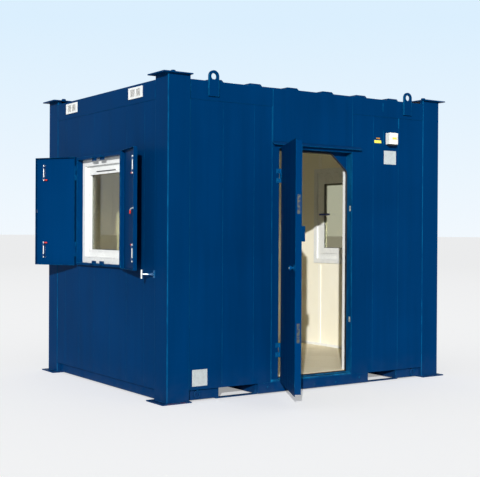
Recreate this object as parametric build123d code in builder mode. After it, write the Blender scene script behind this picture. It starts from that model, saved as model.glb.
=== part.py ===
from build123d import *
import os
from math import cos, radians, sin

# Portable steel site cabin with one outward door and a shuttered window in each end.
# Millimetres. X runs along the front, Y to the back, Z up.
# The origin is the front left corner of the cabin at the ground.

# Overall frame
length = 3000.0
depth = 2340.0
plate_t = 10.0
post_bottom = plate_t
post_height = 2621.0
post_leg = 210.0
post_t = 4.0
post_lip = 40.0
post_bend = 8.0
plate_w = 270.0
plate_out_x = 55.0
spigot_r = 21.0
spigot_h = 32.0
spigot_chamfer = 5.0
cut_over = 1.0

# Base and floor
base_rail_h = 85.0
base_recess = 35.0
rail_t = 4.0
pocket_w = 380.0
pocket_spacing = 1610.0
pocket_t = 6.0
strap_t = 8.0
strap_lap = 20.0
joist_w = 45.0
joist_h = 79.0
deck_t = 18.0
vinyl_t = 3.0
floor_top = 130.0

# Walls, roof and ceiling
wall_t = 77.0
wall_recess = 3.0
seam_pitch = 312.0
seam_w = 3.0
seam_depth = 1.5
cover_t = 3.0
lining_t = 12.0
top_rail_h = 158.0
top_rail_drop = 33.0
top_rail_flange = 60.0
ceiling_t = 15.0
roof_t = 2.0
roof_edge = 15.0
rib_pitch = 390.0
rib_w = 150.0
rib_h = 20.0
rib_angle = 42.0
rib_shift = 65.0

# Doorway
door_left = 1021.0
door_right = 1913.0
door_sill = 108.0
door_head = 2090.0
hinge_post_w = 74.0
frame_t = 4.0
stop_w = 10.0
stop_head = 14.0
threshold_h = 17.0
gusset_w = 180.0
gusset_h = 150.0
gusset_r = 60.0
seal_t = 5.0
seal_w = 10.0
liner_depth = 35.0
architrave_w = 60.0
drip_right = 91.0
drip_reach = 34.0
drip_h = 30.0
drip_t = 3.0
drip_gap = 15.0

# Door leaf
leaf_t = 47.0
skin_t = 3.0
leaf_clear = 5.0
leaf_lap = 10.0
leaf_edge_gap = 8.0
door_pin_r = 5.0
door_barrel_r = 9.0
door_barrel_h = 40.0
door_pin_x = 5.0
door_pin_y = 12.0
strap_plate_w = 32.0
strap_plate_t = 5.0
pin_clear = 0.08
barrel_gap = 0.4
door_hinge_low_z = 367.0
door_hinge_top_z = 1853.0
lock_low_z = 590.0
lock_top_z = 1590.0
forend_w = 24.0
forend_h = 150.0
forend_t = 2.0
lock_box_inset = 90.0
lock_box_w = 60.0
lock_box_h = 120.0
lock_box_t = 31.0
lock_box_round = 4.0
lock_box_z = 1360.0
knob_z = 1095.0
knob_inset = 50.0
knob_r = 17.0
knob_len = 18.0
knob_reach = 40.0
knob_round = 4.0
neck_r = 9.0
rose_r = 26.0
rose_t = 6.0
door_open_degrees = 118.5

# Windows and shutters
window_centre = 1176.0
far_window_shift = 139.0
window_sill = 1084.0
window_h = 942.0
window_w = 850.0
surround_side = 20.0
surround_head = 25.0
surround_foot = 20.0
surround_proud = 40.0
frame_back = 18.0
frame_depth = 66.0
frame_face = 60.0
sash_face = 62.0
sash_proud = 8.0
sash_recess = 23.0
glass_recess = 44.0
glass_t = 24.0
trim_w = 45.0
trim_t = 9.0
trim_return = 6.0
shutter_gap = 5.0
shutter_w = 450.0
shutter_t = 3.0
shutter_lip = 28.0
shutter_barrel_r = 7.0
shutter_pin_r = 3.5
shutter_barrel_h = 45.0
shutter_pin_gap = 2.0
shutter_hinge_inset = 150.0
tab_inset = 3.0
tab_t = 10.0
bolt_r = 5.0
bolt_len = 150.0
bolt_foot = 65.0
bolt_inset = 90.0
bolt_plate_w = 30.0
bolt_plate_t = 3.0
bolt_stand = 16.0
guide_w = 20.0
guide_h = 20.0
guide_inset = 15.0
guide_wrap = 3.0
handle_r = 4.0
handle_len = 26.0
handle_inset = 8.0
keep_w = 44.0
keep_t = 8.0
keep_play = 3.0
stay_foot_offset = 968.0
stay_tip_offset = 918.0
stay_reach = 90.0
front_stay_z = 1027.0
rear_stay_z = 1557.0
stay_rod_r = 6.0
stay_bar_r = 9.0
stay_bar_h = 72.0
stay_plate_w = 24.0
stay_plate_h = 60.0
stay_plate_t = 6.0
stay_ear_reach = 18.0
stay_ear_t = 5.0
front_shutter_degrees = 166.0
rear_shutter_degrees = 149.0

# Lifting lugs, lashing lugs, vents, power inlet
lug_w = 100.0
lug_t = 15.0
lug_rise = 88.0
lug_lap = 124.0
lug_hole_r = 27.0
lug_x = 421.0
lash_r = 34.0
lash_x = 300.0
lash_t = 12.0
vent_w = 240.0
vent_h = 94.0
vent_t = 8.0
vent_drop = 115.0
grille_w = 80.0
grille_h = 60.0
grille_gap = 16.0
grille_depth = 5.0
front_vent_y = 541.0
rear_vent_y = 1806.0
inlet_w = 104.0
inlet_h = 105.0
inlet_d = 60.0
inlet_x = 2370.0
inlet_drop = 198.0
inlet_round = 12.0
inlet_top_round = 7.0
inlet_split_h = 2.0
inlet_split_rise = 38.0

post_top = post_bottom + post_height
rail_top = post_top - top_rail_drop
rail_bottom = rail_top - top_rail_h
base_top = post_bottom + base_rail_h
inner = wall_recess + wall_t
base_flange = inner - base_recess
room = inner + lining_t
deck_top = floor_top - vinyl_t
deck_bottom = deck_top - deck_t
ceiling_bottom = rail_bottom - ceiling_t
leaf_x0 = door_left + hinge_post_w
leaf_x1 = door_right - frame_t
pass_x0 = leaf_x0 + stop_w
pass_x1 = leaf_x1 - stop_w
leaf_top = door_head + leaf_lap
leaf_bottom = door_sill - leaf_lap
drip_z = leaf_top + drip_gap
mid_x = Plane.YZ.offset(length / 2)
mid_y = Plane.XZ.offset(-depth / 2)
low = (Align.MIN, Align.MIN, Align.MIN)


def save(part, name):
    part.label = name
    export_step(part, f"parts/{name}.step")


def block(x0, x1, y0, y1, z0, z1, mode=Mode.ADD):
    with Locations((x0, y0, z0)):
        Box(x1 - x0, y1 - y0, z1 - z0, align=low, mode=mode)


def channel_section(face, foot, flange, height, t):
    # Channel profile with its back at the outside and its flanges turned inward
    with Locations((face, foot)):
        Rectangle(flange, height, align=(Align.MIN, Align.MIN))
    with Locations((face + t, foot + t)):
        Rectangle(flange, height - 2 * t, align=(Align.MIN, Align.MIN), mode=Mode.SUBTRACT)


def to_far_end(part):
    # The right end repeats the left end, mirrored and with its window set further back
    return mirror(part, about=mid_x).moved(Location((0, far_window_shift, 0)))


def both_ends(part):
    return Compound(children=[*part.solids(), *to_far_end(part).solids()])


os.makedirs("parts", exist_ok=True)

# Corner posts: folded angle with a lip along each leg
with BuildPart() as corner_posts:
    with BuildSketch(Plane.XY.offset(post_bottom)):
        Rectangle(post_leg, post_leg, align=(Align.MIN, Align.MIN))
        with Locations((post_t, post_t)):
            Rectangle(post_leg, post_leg, align=(Align.MIN, Align.MIN), mode=Mode.SUBTRACT)
        with Locations((post_leg - post_t, 0)):
            Rectangle(post_t, post_lip, align=(Align.MIN, Align.MIN))
        with Locations((0, post_leg - post_t)):
            Rectangle(post_lip, post_t, align=(Align.MIN, Align.MIN))
    extrude(amount=post_height)
    upright = corner_posts.edges().filter_by(Axis.Z)
    front_folds = upright.group_by(Axis.Y)[0]
    end_fold = upright.group_by(Axis.X)[0].sort_by(Axis.Y)[-1]
    fillet([*front_folds, end_fold], post_bend)
    mirror(about=mid_x)
    mirror(about=mid_y)
save(corner_posts.part, "corner_posts")

# Square plates under and over each post, set out past the end walls
plate_x = plate_w / 2 - plate_out_x
plate_y = post_leg / 2
with BuildPart() as foot_plates:
    with BuildSketch(Plane.XY):
        with Locations((plate_x, plate_y)):
            Rectangle(plate_w, plate_w)
    extrude(amount=plate_t)
    mirror(about=mid_x)
    mirror(about=mid_y)
save(foot_plates.part, "foot_plates")

with BuildPart() as top_plates:
    with BuildSketch(Plane.XY.offset(post_top)):
        with Locations((plate_x, plate_y)):
            Rectangle(plate_w, plate_w)
    extrude(amount=plate_t)
    mirror(about=mid_x)
    mirror(about=mid_y)
save(top_plates.part, "top_plates")

with BuildPart() as stacking_spigots:
    with BuildSketch(Plane.XY.offset(post_top + plate_t)):
        with Locations((post_leg / 2, post_leg / 2)):
            Circle(spigot_r)
    extrude(amount=spigot_h)
    chamfer(stacking_spigots.edges().group_by(Axis.Z)[-1], spigot_chamfer)
    mirror(about=mid_x)
    mirror(about=mid_y)
save(stacking_spigots.part, "stacking_spigots")

# Base rails: channels open to the inside, broken at the fork pockets
pocket_a0 = length / 2 - pocket_spacing / 2 - pocket_w / 2
pocket_a1 = pocket_a0 + pocket_w
pocket_b0 = length - pocket_a1
rail_inner = base_recess + base_flange
with BuildPart() as base_rails:
    with BuildSketch(Plane.YZ.offset(post_leg)):
        channel_section(base_recess, post_bottom, base_flange, base_rail_h, rail_t)
    extrude(amount=pocket_a0 - post_leg)
    mirror(about=mid_x)
    with BuildSketch(Plane.YZ.offset(pocket_a1)):
        channel_section(base_recess, post_bottom, base_flange, base_rail_h, rail_t)
    extrude(amount=pocket_b0 - pocket_a1)
    mirror(about=mid_y)
    block(pocket_a1, pocket_b0, 0, base_recess, post_bottom, base_top)
    block(pocket_a1, pocket_b0, rail_t, base_recess, post_bottom, base_top - rail_t, mode=Mode.SUBTRACT)
    with BuildSketch(Plane.XZ.offset(-post_leg)):
        channel_section(base_recess, post_bottom, base_flange, base_rail_h, rail_t)
    extrude(amount=-(depth - 2 * post_leg))
    mirror(about=mid_x)
save(base_rails.part, "base_rails")

# Fork pockets: channels open below from front to back, with a strap under each mouth
with BuildPart() as fork_pockets:
    block(pocket_a0, pocket_a1, base_recess, depth - base_recess, post_bottom, base_top)
    block(pocket_a0 + pocket_t, pocket_a1 - pocket_t, base_recess, depth - base_recess,
          post_bottom, base_top - pocket_t, mode=Mode.SUBTRACT)
    block(pocket_a0 - strap_lap, pocket_a1 + strap_lap, base_recess, rail_inner,
          post_bottom - strap_t, post_bottom)
    block(pocket_a0 - strap_lap, pocket_a1 + strap_lap, depth - rail_inner, depth - base_recess,
          post_bottom - strap_t, post_bottom)
    mirror(about=mid_x)
save(fork_pockets.part, "fork_pockets")

# Floor: joists from front to back, deck and sheet vinyl
joist_bottom = deck_bottom - joist_h
joist_x = [post_leg + joist_w, pocket_a0 - joist_w, pocket_a1]
with BuildPart() as floor_joists:
    for x in joist_x:
        block(x, x + joist_w, rail_inner, depth - rail_inner, joist_bottom, deck_bottom)
    mirror(about=mid_x)
    block((length - joist_w) / 2, (length + joist_w) / 2, rail_inner, depth - rail_inner,
          joist_bottom, deck_bottom)
save(floor_joists.part, "floor_joists")

with BuildPart() as floor_deck:
    block(inner, length - inner, inner, depth - inner, deck_bottom, deck_top)
save(floor_deck.part, "floor_deck")

with BuildPart() as floor_covering:
    block(room, length - room, room, depth - room, deck_top, floor_top)
    block(pass_x0, pass_x1, inner, room, deck_top, floor_top)
save(floor_covering.part, "floor_covering")

# Top rails between the posts
with BuildPart() as top_rails:
    with BuildSketch(Plane.YZ.offset(post_leg)):
        channel_section(0, rail_bottom, top_rail_flange, top_rail_h, rail_t)
    extrude(amount=length - 2 * post_leg)
    mirror(about=mid_y)
    with BuildSketch(Plane.XZ.offset(-post_leg)):
        channel_section(0, rail_bottom, top_rail_flange, top_rail_h, rail_t)
    extrude(amount=-(depth - 2 * post_leg))
    mirror(about=mid_x)
save(top_rails.part, "top_rails")

# Roof: box ribbed sheet on the rails, cut round the posts
rib_count = int((length - 2 * post_leg) // rib_pitch)
rib_middle = length / 2 - rib_shift
with BuildPart() as roof_sheet:
    with BuildSketch(Plane.XZ.offset(-roof_edge)):
        with Locations((roof_edge, rail_top)):
            Rectangle(length - 2 * roof_edge, roof_t, align=(Align.MIN, Align.MIN))
        with Locations((rib_middle, rail_top)):
            with GridLocations(rib_pitch, 0, rib_count, 1):
                Trapezoid(rib_w, rib_h, rib_angle, align=(Align.CENTER, Align.MIN))
    extrude(amount=-(depth - 2 * roof_edge))
    with BuildSketch(Plane.XZ.offset(-roof_edge - roof_t)):
        with Locations((rib_middle, rail_top)):
            with GridLocations(rib_pitch, 0, rib_count, 1):
                Trapezoid(rib_w - 2 * roof_t, rib_h - roof_t, rib_angle, align=(Align.CENTER, Align.MIN))
    extrude(amount=-(depth - 2 * roof_edge - 2 * roof_t), mode=Mode.SUBTRACT)
    corner = post_leg + roof_t
    for x in (0, length - corner):
        for y in (0, depth - corner):
            block(x, x + corner, y, y + corner, rail_top - cut_over, rail_top + rib_h + cut_over,
                  mode=Mode.SUBTRACT)
save(roof_sheet.part, "roof_sheet")

with BuildPart() as ceiling_panel:
    block(inner, length - inner, inner, depth - inner, ceiling_bottom, rail_bottom)
save(ceiling_panel.part, "ceiling_panel")

def long_seam(x, face):
    # Pressed joint line between two sheets of a long wall
    block(x - seam_w / 2, x + seam_w / 2, face - seam_depth, face + seam_depth, base_top, rail_bottom,
          mode=Mode.SUBTRACT)


def end_seam(y, face):
    # Pressed joint line between two sheets of an end wall
    block(face - seam_depth, face + seam_depth, y - seam_w / 2, y + seam_w / 2, base_top, rail_bottom,
          mode=Mode.SUBTRACT)


# Front wall, split beside and over the doorway, where a cover sheet runs up over the top rail
with BuildPart() as front_wall_left:
    block(post_leg, door_left, wall_recess, inner, base_top, rail_bottom)
    for sheet in (1, 2):
        long_seam(post_leg + sheet * seam_pitch, wall_recess)
save(front_wall_left.part, "front_wall_left")

with BuildPart() as front_wall_right:
    block(door_right, length - post_leg, wall_recess, inner, base_top, rail_bottom)
    for sheet in (1, 2):
        long_seam(length - post_leg - sheet * seam_pitch, wall_recess)
save(front_wall_right.part, "front_wall_right")

cover_bottom = drip_z + drip_h
with BuildPart() as front_wall_over_door:
    block(door_left, door_right, wall_recess, inner, door_head + frame_t, rail_bottom)
    block(door_left, door_right, 0, wall_recess, cover_bottom, rail_bottom)
    block(door_left, door_right, -cover_t, 0, cover_bottom, rail_top)
save(front_wall_over_door.part, "front_wall_over_door")

back_seams = int((length - 2 * post_leg) // seam_pitch)
with BuildPart() as back_wall:
    block(post_leg, length - post_leg, depth - inner, depth - wall_recess, base_top, rail_bottom)
    for location in GridLocations(seam_pitch, 0, back_seams, 1):
        long_seam(length / 2 + location.position.X, depth - wall_recess)
save(back_wall.part, "back_wall")

# End walls with the window openings cut through
surround_w = window_w + 2 * surround_side
surround_z0 = window_sill - surround_foot
surround_z1 = window_sill + window_h + surround_head


def window_cut(x0, x1, centre):
    block(x0, x1, centre - surround_w / 2, centre + surround_w / 2, surround_z0, surround_z1,
          mode=Mode.SUBTRACT)


far_centre = window_centre + far_window_shift
end_seams = int((depth - 2 * post_leg) // seam_pitch)
with BuildPart() as left_wall:
    block(wall_recess, inner, post_leg, depth - post_leg, base_top, rail_bottom)
    for location in GridLocations(seam_pitch, 0, end_seams, 1):
        end_seam(depth / 2 + location.position.X, wall_recess)
    window_cut(0, room, window_centre)
save(left_wall.part, "left_wall")

with BuildPart() as right_wall:
    block(length - inner, length - wall_recess, post_leg, depth - post_leg, base_top, rail_bottom)
    for location in GridLocations(seam_pitch, 0, end_seams, 1):
        end_seam(depth / 2 + location.position.X, length - wall_recess)
    window_cut(length - room, length, far_centre)
save(right_wall.part, "right_wall")

# Inner linings
with BuildPart() as lining_front:
    block(inner, length - inner, inner, room, deck_top, ceiling_bottom)
    block(door_left, door_right, inner, room, deck_top, door_head, mode=Mode.SUBTRACT)
save(lining_front.part, "lining_front")

with BuildPart() as lining_back:
    block(inner, length - inner, depth - room, depth - inner, deck_top, ceiling_bottom)
save(lining_back.part, "lining_back")

with BuildPart() as lining_left:
    block(inner, room, room, depth - room, deck_top, ceiling_bottom)
    window_cut(0, room + cut_over, window_centre)
save(lining_left.part, "lining_left")

with BuildPart() as lining_right:
    block(length - room, length - inner, room, depth - room, deck_top, ceiling_bottom)
    window_cut(length - room - cut_over, length, far_centre)
save(lining_right.part, "lining_right")

# Door frame: hinge post, head, sill and lock jamb, with a stop plate behind the leaf
stop_y = inner - frame_t
pass_z0 = door_sill + threshold_h
pass_z1 = door_head - stop_head


def passage(grow):
    # Clear outline of the doorway with its top corner cut off at the lock side
    Polygon(
        (pass_x0 - grow, pass_z0 - grow),
        (pass_x1 + grow, pass_z0 - grow),
        (pass_x1 + grow, pass_z1 - gusset_h),
        (pass_x1 - gusset_w, pass_z1 + grow),
        (pass_x0 - grow, pass_z1 + grow),
        align=None,
    )


def corner_bends(outline):
    rows = outline.vertices().group_by(Axis.Y)
    return [*rows[1], rows[-1].sort_by(Axis.X)[-1]]


with BuildPart() as door_frame:
    block(door_left, door_right, 0, inner, base_top, door_head + frame_t)
    block(leaf_x0, leaf_x1, 0, inner, door_sill, door_head, mode=Mode.SUBTRACT)
    block(door_left + frame_t, leaf_x0 - frame_t, frame_t, inner - frame_t, base_top, door_head,
          mode=Mode.SUBTRACT)
    for level in (lock_low_z, lock_top_z):
        block(leaf_x1 - cut_over, door_right + cut_over, (leaf_t - forend_w) / 2, (leaf_t + forend_w) / 2,
              level - forend_w, level + forend_w, mode=Mode.SUBTRACT)
    fillet(door_frame.edges().filter_by(Axis.Z).group_by(Axis.Y)[0].sort_by(Axis.X)[:2], wall_recess)
    with BuildSketch(Plane.XZ.offset(-inner)):
        with Locations((leaf_x0, door_sill)):
            Rectangle(leaf_x1 - leaf_x0, door_head - door_sill, align=(Align.MIN, Align.MIN))
        with BuildSketch(mode=Mode.PRIVATE) as opening:
            passage(0)
            fillet(corner_bends(opening), gusset_r)
        add(opening.sketch, mode=Mode.SUBTRACT)
    extrude(amount=frame_t)
save(door_frame.part, "door_frame")

with BuildPart() as door_seal:
    with BuildSketch(Plane.XZ.offset(-stop_y)):
        with BuildSketch(mode=Mode.PRIVATE) as rim:
            passage(seal_w)
            fillet(corner_bends(rim), gusset_r + seal_w)
        with BuildSketch(mode=Mode.PRIVATE) as opening:
            passage(0)
            fillet(corner_bends(opening), gusset_r)
        add(rim.sketch)
        add(opening.sketch, mode=Mode.SUBTRACT)
    extrude(amount=seal_t)
save(door_seal.part, "door_seal")

# White liner round the doorway, with an architrave on the lining
with BuildPart() as door_liner:
    block(door_left, door_right, inner, room, deck_top, door_head)
    block(pass_x0 - architrave_w, pass_x1 + architrave_w, room, inner + liner_depth,
          floor_top, pass_z1 + architrave_w)
    block(pass_x0, pass_x1, inner, inner + liner_depth, deck_top, pass_z1, mode=Mode.SUBTRACT)
save(door_liner.part, "door_liner")

# Drip hood over the door
with BuildPart() as drip_rail:
    with BuildSketch(Plane.YZ.offset(door_left)):
        with BuildLine():
            Polyline(
                (wall_recess, drip_z + drip_h),
                (wall_recess - drip_t, drip_z + drip_h),
                (-drip_reach, drip_z + drip_t * 2),
                (-drip_reach, drip_z),
                (-drip_reach + drip_t, drip_z),
                (-drip_reach + drip_t, drip_z + drip_t),
                (wall_recess, drip_z + drip_h - drip_t * 2),
                close=True,
            )
        make_face()
    extrude(amount=door_right + drip_right - door_left)
save(drip_rail.part, "drip_rail")

# Door hinges: the fixed halves with their pins stay on the hinge post
pin_x = leaf_x0 + door_pin_x
pin_y = -door_pin_y
with BuildPart() as door_hinge_pins:
    for level in (door_hinge_low_z, door_hinge_top_z):
        low_z = level - 1.5 * door_barrel_h
        with Locations((pin_x, pin_y, low_z)):
            Cylinder(door_pin_r, 3 * door_barrel_h, align=(Align.CENTER, Align.CENTER, Align.MIN))
        for z in (low_z, level + 0.5 * door_barrel_h):
            with Locations((pin_x, pin_y, z)):
                Cylinder(door_barrel_r, door_barrel_h, align=(Align.CENTER, Align.CENTER, Align.MIN))
            block(leaf_x0 - strap_plate_w, leaf_x0, -strap_plate_t, 0, z, z + door_barrel_h)
save(door_hinge_pins.part, "door_hinge_pins")

# Door leaf: boxed steel leaf with a lapped outer plate, hung on two barrels
plate_x0 = pin_x + door_barrel_r + leaf_clear
leaf_back = leaf_t - leaf_clear
edge_x = leaf_x1 - leaf_edge_gap
front_y = -leaf_clear - skin_t
forend_y = leaf_t / 2 - leaf_clear
with BuildPart() as closed_leaf:
    block(plate_x0, edge_x, front_y, -leaf_clear, leaf_bottom, leaf_top)
    block(plate_x0, edge_x, -leaf_clear, leaf_back, door_sill + leaf_edge_gap, door_head - leaf_edge_gap)
    for level in (door_hinge_low_z, door_hinge_top_z):
        z0 = level - door_barrel_h / 2 + barrel_gap
        h = door_barrel_h - 2 * barrel_gap
        with Locations((pin_x, pin_y, z0)):
            Cylinder(door_barrel_r, h, align=(Align.CENTER, Align.CENTER, Align.MIN))
        block(pin_x, plate_x0 + strap_plate_w, front_y - strap_plate_t, front_y, z0, z0 + h)
        with Locations((pin_x, pin_y, z0 - cut_over)):
            Cylinder(door_pin_r + pin_clear, h + 2 * cut_over,
                     align=(Align.CENTER, Align.CENTER, Align.MIN), mode=Mode.SUBTRACT)
    for level in (lock_low_z, lock_top_z):
        block(edge_x - forend_t, edge_x + cut_over, forend_y - forend_w / 2, forend_y + forend_w / 2,
              level - forend_h / 2, level + forend_h / 2, mode=Mode.SUBTRACT)
door_axis = Axis((pin_x, pin_y, 0), (0, 0, 1))
save(closed_leaf.part.rotate(door_axis, -door_open_degrees), "door_leaf")

# Door locks: forends let into the free edge, a turned knob outside and a case inside
with BuildPart() as closed_forends:
    for level in (lock_low_z, lock_top_z):
        block(edge_x - forend_t, edge_x, forend_y - forend_w / 2, forend_y + forend_w / 2,
              level - forend_h / 2, level + forend_h / 2)
save(closed_forends.part.rotate(door_axis, -door_open_degrees), "lock_forends")

knob_x = edge_x - knob_inset
knob_end = front_y - knob_reach
with BuildPart() as closed_knob:
    with BuildSketch(Plane.XY.offset(knob_z)):
        with BuildLine():
            Polyline(
                (knob_x, front_y),
                (knob_x + rose_r, front_y),
                (knob_x + rose_r, front_y - rose_t),
                (knob_x + neck_r, front_y - rose_t),
                (knob_x + neck_r, knob_end + knob_len),
                (knob_x + knob_r, knob_end + knob_len),
                (knob_x + knob_r, knob_end),
                (knob_x, knob_end),
                close=True,
            )
        make_face()
    revolve(axis=Axis((knob_x, 0, knob_z), (0, 1, 0)))
    rims = closed_knob.edges().filter_by(GeomType.CIRCLE)
    fillet(rims.filter_by(lambda rim: rim.radius == knob_r), knob_round)
save(closed_knob.part.rotate(door_axis, -door_open_degrees), "door_knob")

with BuildPart() as closed_case:
    block(edge_x - lock_box_inset, edge_x - lock_box_inset + lock_box_w, leaf_back, leaf_back + lock_box_t,
          lock_box_z - lock_box_h / 2, lock_box_z + lock_box_h / 2)
    fillet(closed_case.edges().filter_by(Axis.Z), lock_box_round)
save(closed_case.part.rotate(door_axis, -door_open_degrees), "lock_case")

# Window surround, frame, glass and trim of the left end, repeated at the right end
window_top = window_sill + window_h


def ring(x0, x1, half_w, z0, z1, face):
    # Upright rectangular ring about the window's centre line
    block(x0, x1, window_centre - half_w, window_centre + half_w, z0, z1)
    block(x0, x1, window_centre - half_w + face, window_centre + half_w - face, z0 + face, z1 - face,
          mode=Mode.SUBTRACT)


shutter_axis_x = -surround_proud - shutter_gap
axis_offset = surround_w / 2 + shutter_barrel_r + shutter_pin_gap
shutter_z0 = surround_z0 - shutter_gap - shutter_t
shutter_z1 = surround_z1 + shutter_gap + shutter_t
shutter_levels = (shutter_z0 + shutter_hinge_inset, shutter_z1 - shutter_hinge_inset)
keep_x = shutter_axis_x - shutter_lip + shutter_gap
with BuildPart() as surround:
    block(-surround_proud, room, window_centre - surround_w / 2, window_centre + surround_w / 2,
          surround_z0, surround_z1)
    block(-surround_proud, room, window_centre - window_w / 2, window_centre + window_w / 2,
          window_sill, window_top, mode=Mode.SUBTRACT)
    for side in (-1, 1):
        y = window_centre + side * bolt_inset
        for z in (window_sill - keep_t, window_top):
            block(keep_x, -surround_proud, y - keep_w / 2, y + keep_w / 2, z, z + keep_t)
            with Locations((shutter_axis_x - shutter_lip + bolt_stand, y, z)):
                Cylinder(bolt_r + keep_play, keep_t, align=(Align.CENTER, Align.CENTER, Align.MIN),
                         mode=Mode.SUBTRACT)
        axis_y = window_centre + side * axis_offset
        wall_y = window_centre + side * surround_w / 2
        for level in shutter_levels:
            low_z = level - 1.5 * shutter_barrel_h
            with Locations((shutter_axis_x, axis_y, low_z)):
                Cylinder(shutter_pin_r, 3 * shutter_barrel_h, align=(Align.CENTER, Align.CENTER, Align.MIN))
            for z in (low_z, level + 0.5 * shutter_barrel_h):
                with Locations((shutter_axis_x, axis_y, z)):
                    Cylinder(shutter_barrel_r, shutter_barrel_h,
                             align=(Align.CENTER, Align.CENTER, Align.MIN))
                block(shutter_axis_x + tab_inset, shutter_axis_x + tab_inset + tab_t,
                      min(axis_y, wall_y), max(axis_y, wall_y), z, z + shutter_barrel_h)
save(both_ends(surround.part), "window_surrounds")

with BuildPart() as window_frame:
    ring(frame_back, frame_back + frame_depth, window_w / 2, window_sill, window_top, frame_face)
    sash_z0 = window_sill + frame_face
    sash_z1 = window_top - frame_face
    ring(frame_back + sash_recess, frame_back + frame_depth + sash_proud, window_w / 2 - frame_face,
         sash_z0, sash_z1, sash_face)
save(both_ends(window_frame.part), "window_frames")

with BuildPart() as window_glass:
    block(frame_back + glass_recess, frame_back + glass_recess + glass_t,
          window_centre - window_w / 2 + frame_face + sash_face,
          window_centre + window_w / 2 - frame_face - sash_face,
          sash_z0 + sash_face, sash_z1 - sash_face)
save(both_ends(window_glass.part), "window_glass")

with BuildPart() as window_trim:
    block(room, room + trim_t, window_centre - window_w / 2 - trim_w, window_centre + window_w / 2 + trim_w,
          window_sill - trim_w, window_top + trim_w)
    block(frame_back + frame_depth, room + trim_t, window_centre - window_w / 2, window_centre + window_w / 2,
          window_sill, window_top)
    block(frame_back + frame_depth, room + trim_t, window_centre - window_w / 2 + trim_return,
          window_centre + window_w / 2 - trim_return, window_sill + trim_return, window_top - trim_return,
          mode=Mode.SUBTRACT)
save(both_ends(window_trim.part), "window_trims")


# Shutter leaves: flat pans with lips on four sides, hung at the sides of the surround
def shutter(side):
    # side is -1 for the front leaf and 1 for the rear leaf of a pair
    axis_y = window_centre + side * axis_offset

    def span(s0, s1, n0, n1, z0, z1, mode=Mode.ADD):
        ya = axis_y - side * s0
        yb = axis_y - side * s1
        block(shutter_axis_x + n0, shutter_axis_x + n1, min(ya, yb), max(ya, yb), z0, z1, mode=mode)

    start = shutter_barrel_r + shutter_pin_gap
    skin_n = -shutter_lip - shutter_t
    with BuildPart() as leaf:
        span(start, shutter_w, skin_n, 0, shutter_z0, shutter_z1)
        span(start + shutter_t, shutter_w - shutter_t, -shutter_lip, 0,
             shutter_z0 + shutter_t, shutter_z1 - shutter_t, mode=Mode.SUBTRACT)
        for level in shutter_levels:
            z0 = level - shutter_barrel_h / 2 + barrel_gap
            h = shutter_barrel_h - 2 * barrel_gap
            with Locations((shutter_axis_x, axis_y, z0)):
                Cylinder(shutter_barrel_r, h, align=(Align.CENTER, Align.CENTER, Align.MIN))
            span(0, start, -shutter_barrel_r, -shutter_pin_gap, z0, z0 + h)
            with Locations((shutter_axis_x, axis_y, z0 - cut_over)):
                Cylinder(shutter_pin_r + pin_clear, h + 2 * cut_over,
                         align=(Align.CENTER, Align.CENTER, Align.MIN), mode=Mode.SUBTRACT)
    bolt_s = axis_offset - bolt_inset
    bolt_n = -shutter_lip + bolt_stand
    with BuildPart() as bolts:
        low_foot = shutter_z0 + bolt_foot
        top_foot = shutter_z1 - bolt_foot - bolt_len
        low_grip = low_foot + bolt_len - handle_inset
        for foot, grip in ((low_foot, low_grip), (top_foot, top_foot + handle_inset)):
            span(bolt_s - bolt_plate_w / 2, bolt_s + bolt_plate_w / 2, -shutter_lip,
                 -shutter_lip + bolt_plate_t, foot, foot + bolt_len)
            with Locations((shutter_axis_x + bolt_n, axis_y - side * bolt_s, foot)):
                Cylinder(bolt_r, bolt_len, align=(Align.CENTER, Align.CENTER, Align.MIN))
            for z in (foot + guide_inset, foot + bolt_len - guide_inset - guide_h):
                span(bolt_s - guide_w / 2, bolt_s + guide_w / 2, -shutter_lip,
                     bolt_n + bolt_r + guide_wrap, z, z + guide_h)
            with BuildSketch(Plane.XZ.offset(-axis_y + side * bolt_s)):
                with Locations((shutter_axis_x + bolt_n, grip)):
                    Circle(handle_r)
            extrude(amount=-side * handle_len)
    return leaf.part, bolts.part


def hang(part, side, degrees, end):
    axis = Axis((shutter_axis_x, window_centre + side * axis_offset, 0), (0, 0, 1))
    opened = part.rotate(axis, -side * degrees)
    return opened if end == "left" else to_far_end(opened)


for side, place, degrees in ((-1, "front", front_shutter_degrees), (1, "rear", rear_shutter_degrees)):
    leaf, bolts = shutter(side)
    for end in ("left", "right"):
        save(hang(leaf, side, degrees, end), f"shutter_{end}_{place}")
        save(hang(bolts, side, degrees, end), f"bolts_{end}_{place}")


# Stays that hold the open leaves back: a rod on a pair of ears with a bar across its end
def stay(side, stay_z):
    foot = Vector(-stay_plate_t, window_centre + side * stay_foot_offset, stay_z)
    tip = Vector(-stay_reach, window_centre + side * stay_tip_offset, stay_z)
    y0 = foot.Y - stay_plate_w / 2
    y1 = foot.Y + stay_plate_w / 2
    with BuildPart() as piece:
        block(-stay_plate_t, 0, y0, y1, stay_z - stay_plate_h / 2, stay_z + stay_plate_h / 2)
        for z in (stay_z - stay_rod_r - stay_ear_t, stay_z + stay_rod_r):
            block(-stay_plate_t - stay_ear_reach, -stay_plate_t, y0, y1, z, z + stay_ear_t)
        with BuildSketch(Plane(origin=foot, z_dir=tip - foot)):
            Circle(stay_rod_r)
        extrude(amount=(tip - foot).length)
        with Locations(tip):
            Cylinder(stay_bar_r, stay_bar_h)
    return piece.part


front_stay = stay(-1, front_stay_z)
rear_stay = stay(1, rear_stay_z)
far_front_stay = to_far_end(front_stay).moved(Location((-wall_recess, 0, 0)))
stays = [front_stay, rear_stay, far_front_stay, to_far_end(rear_stay)]
save(Compound(children=[piece.solid() for piece in stays]), "shutter_stays")

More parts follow.
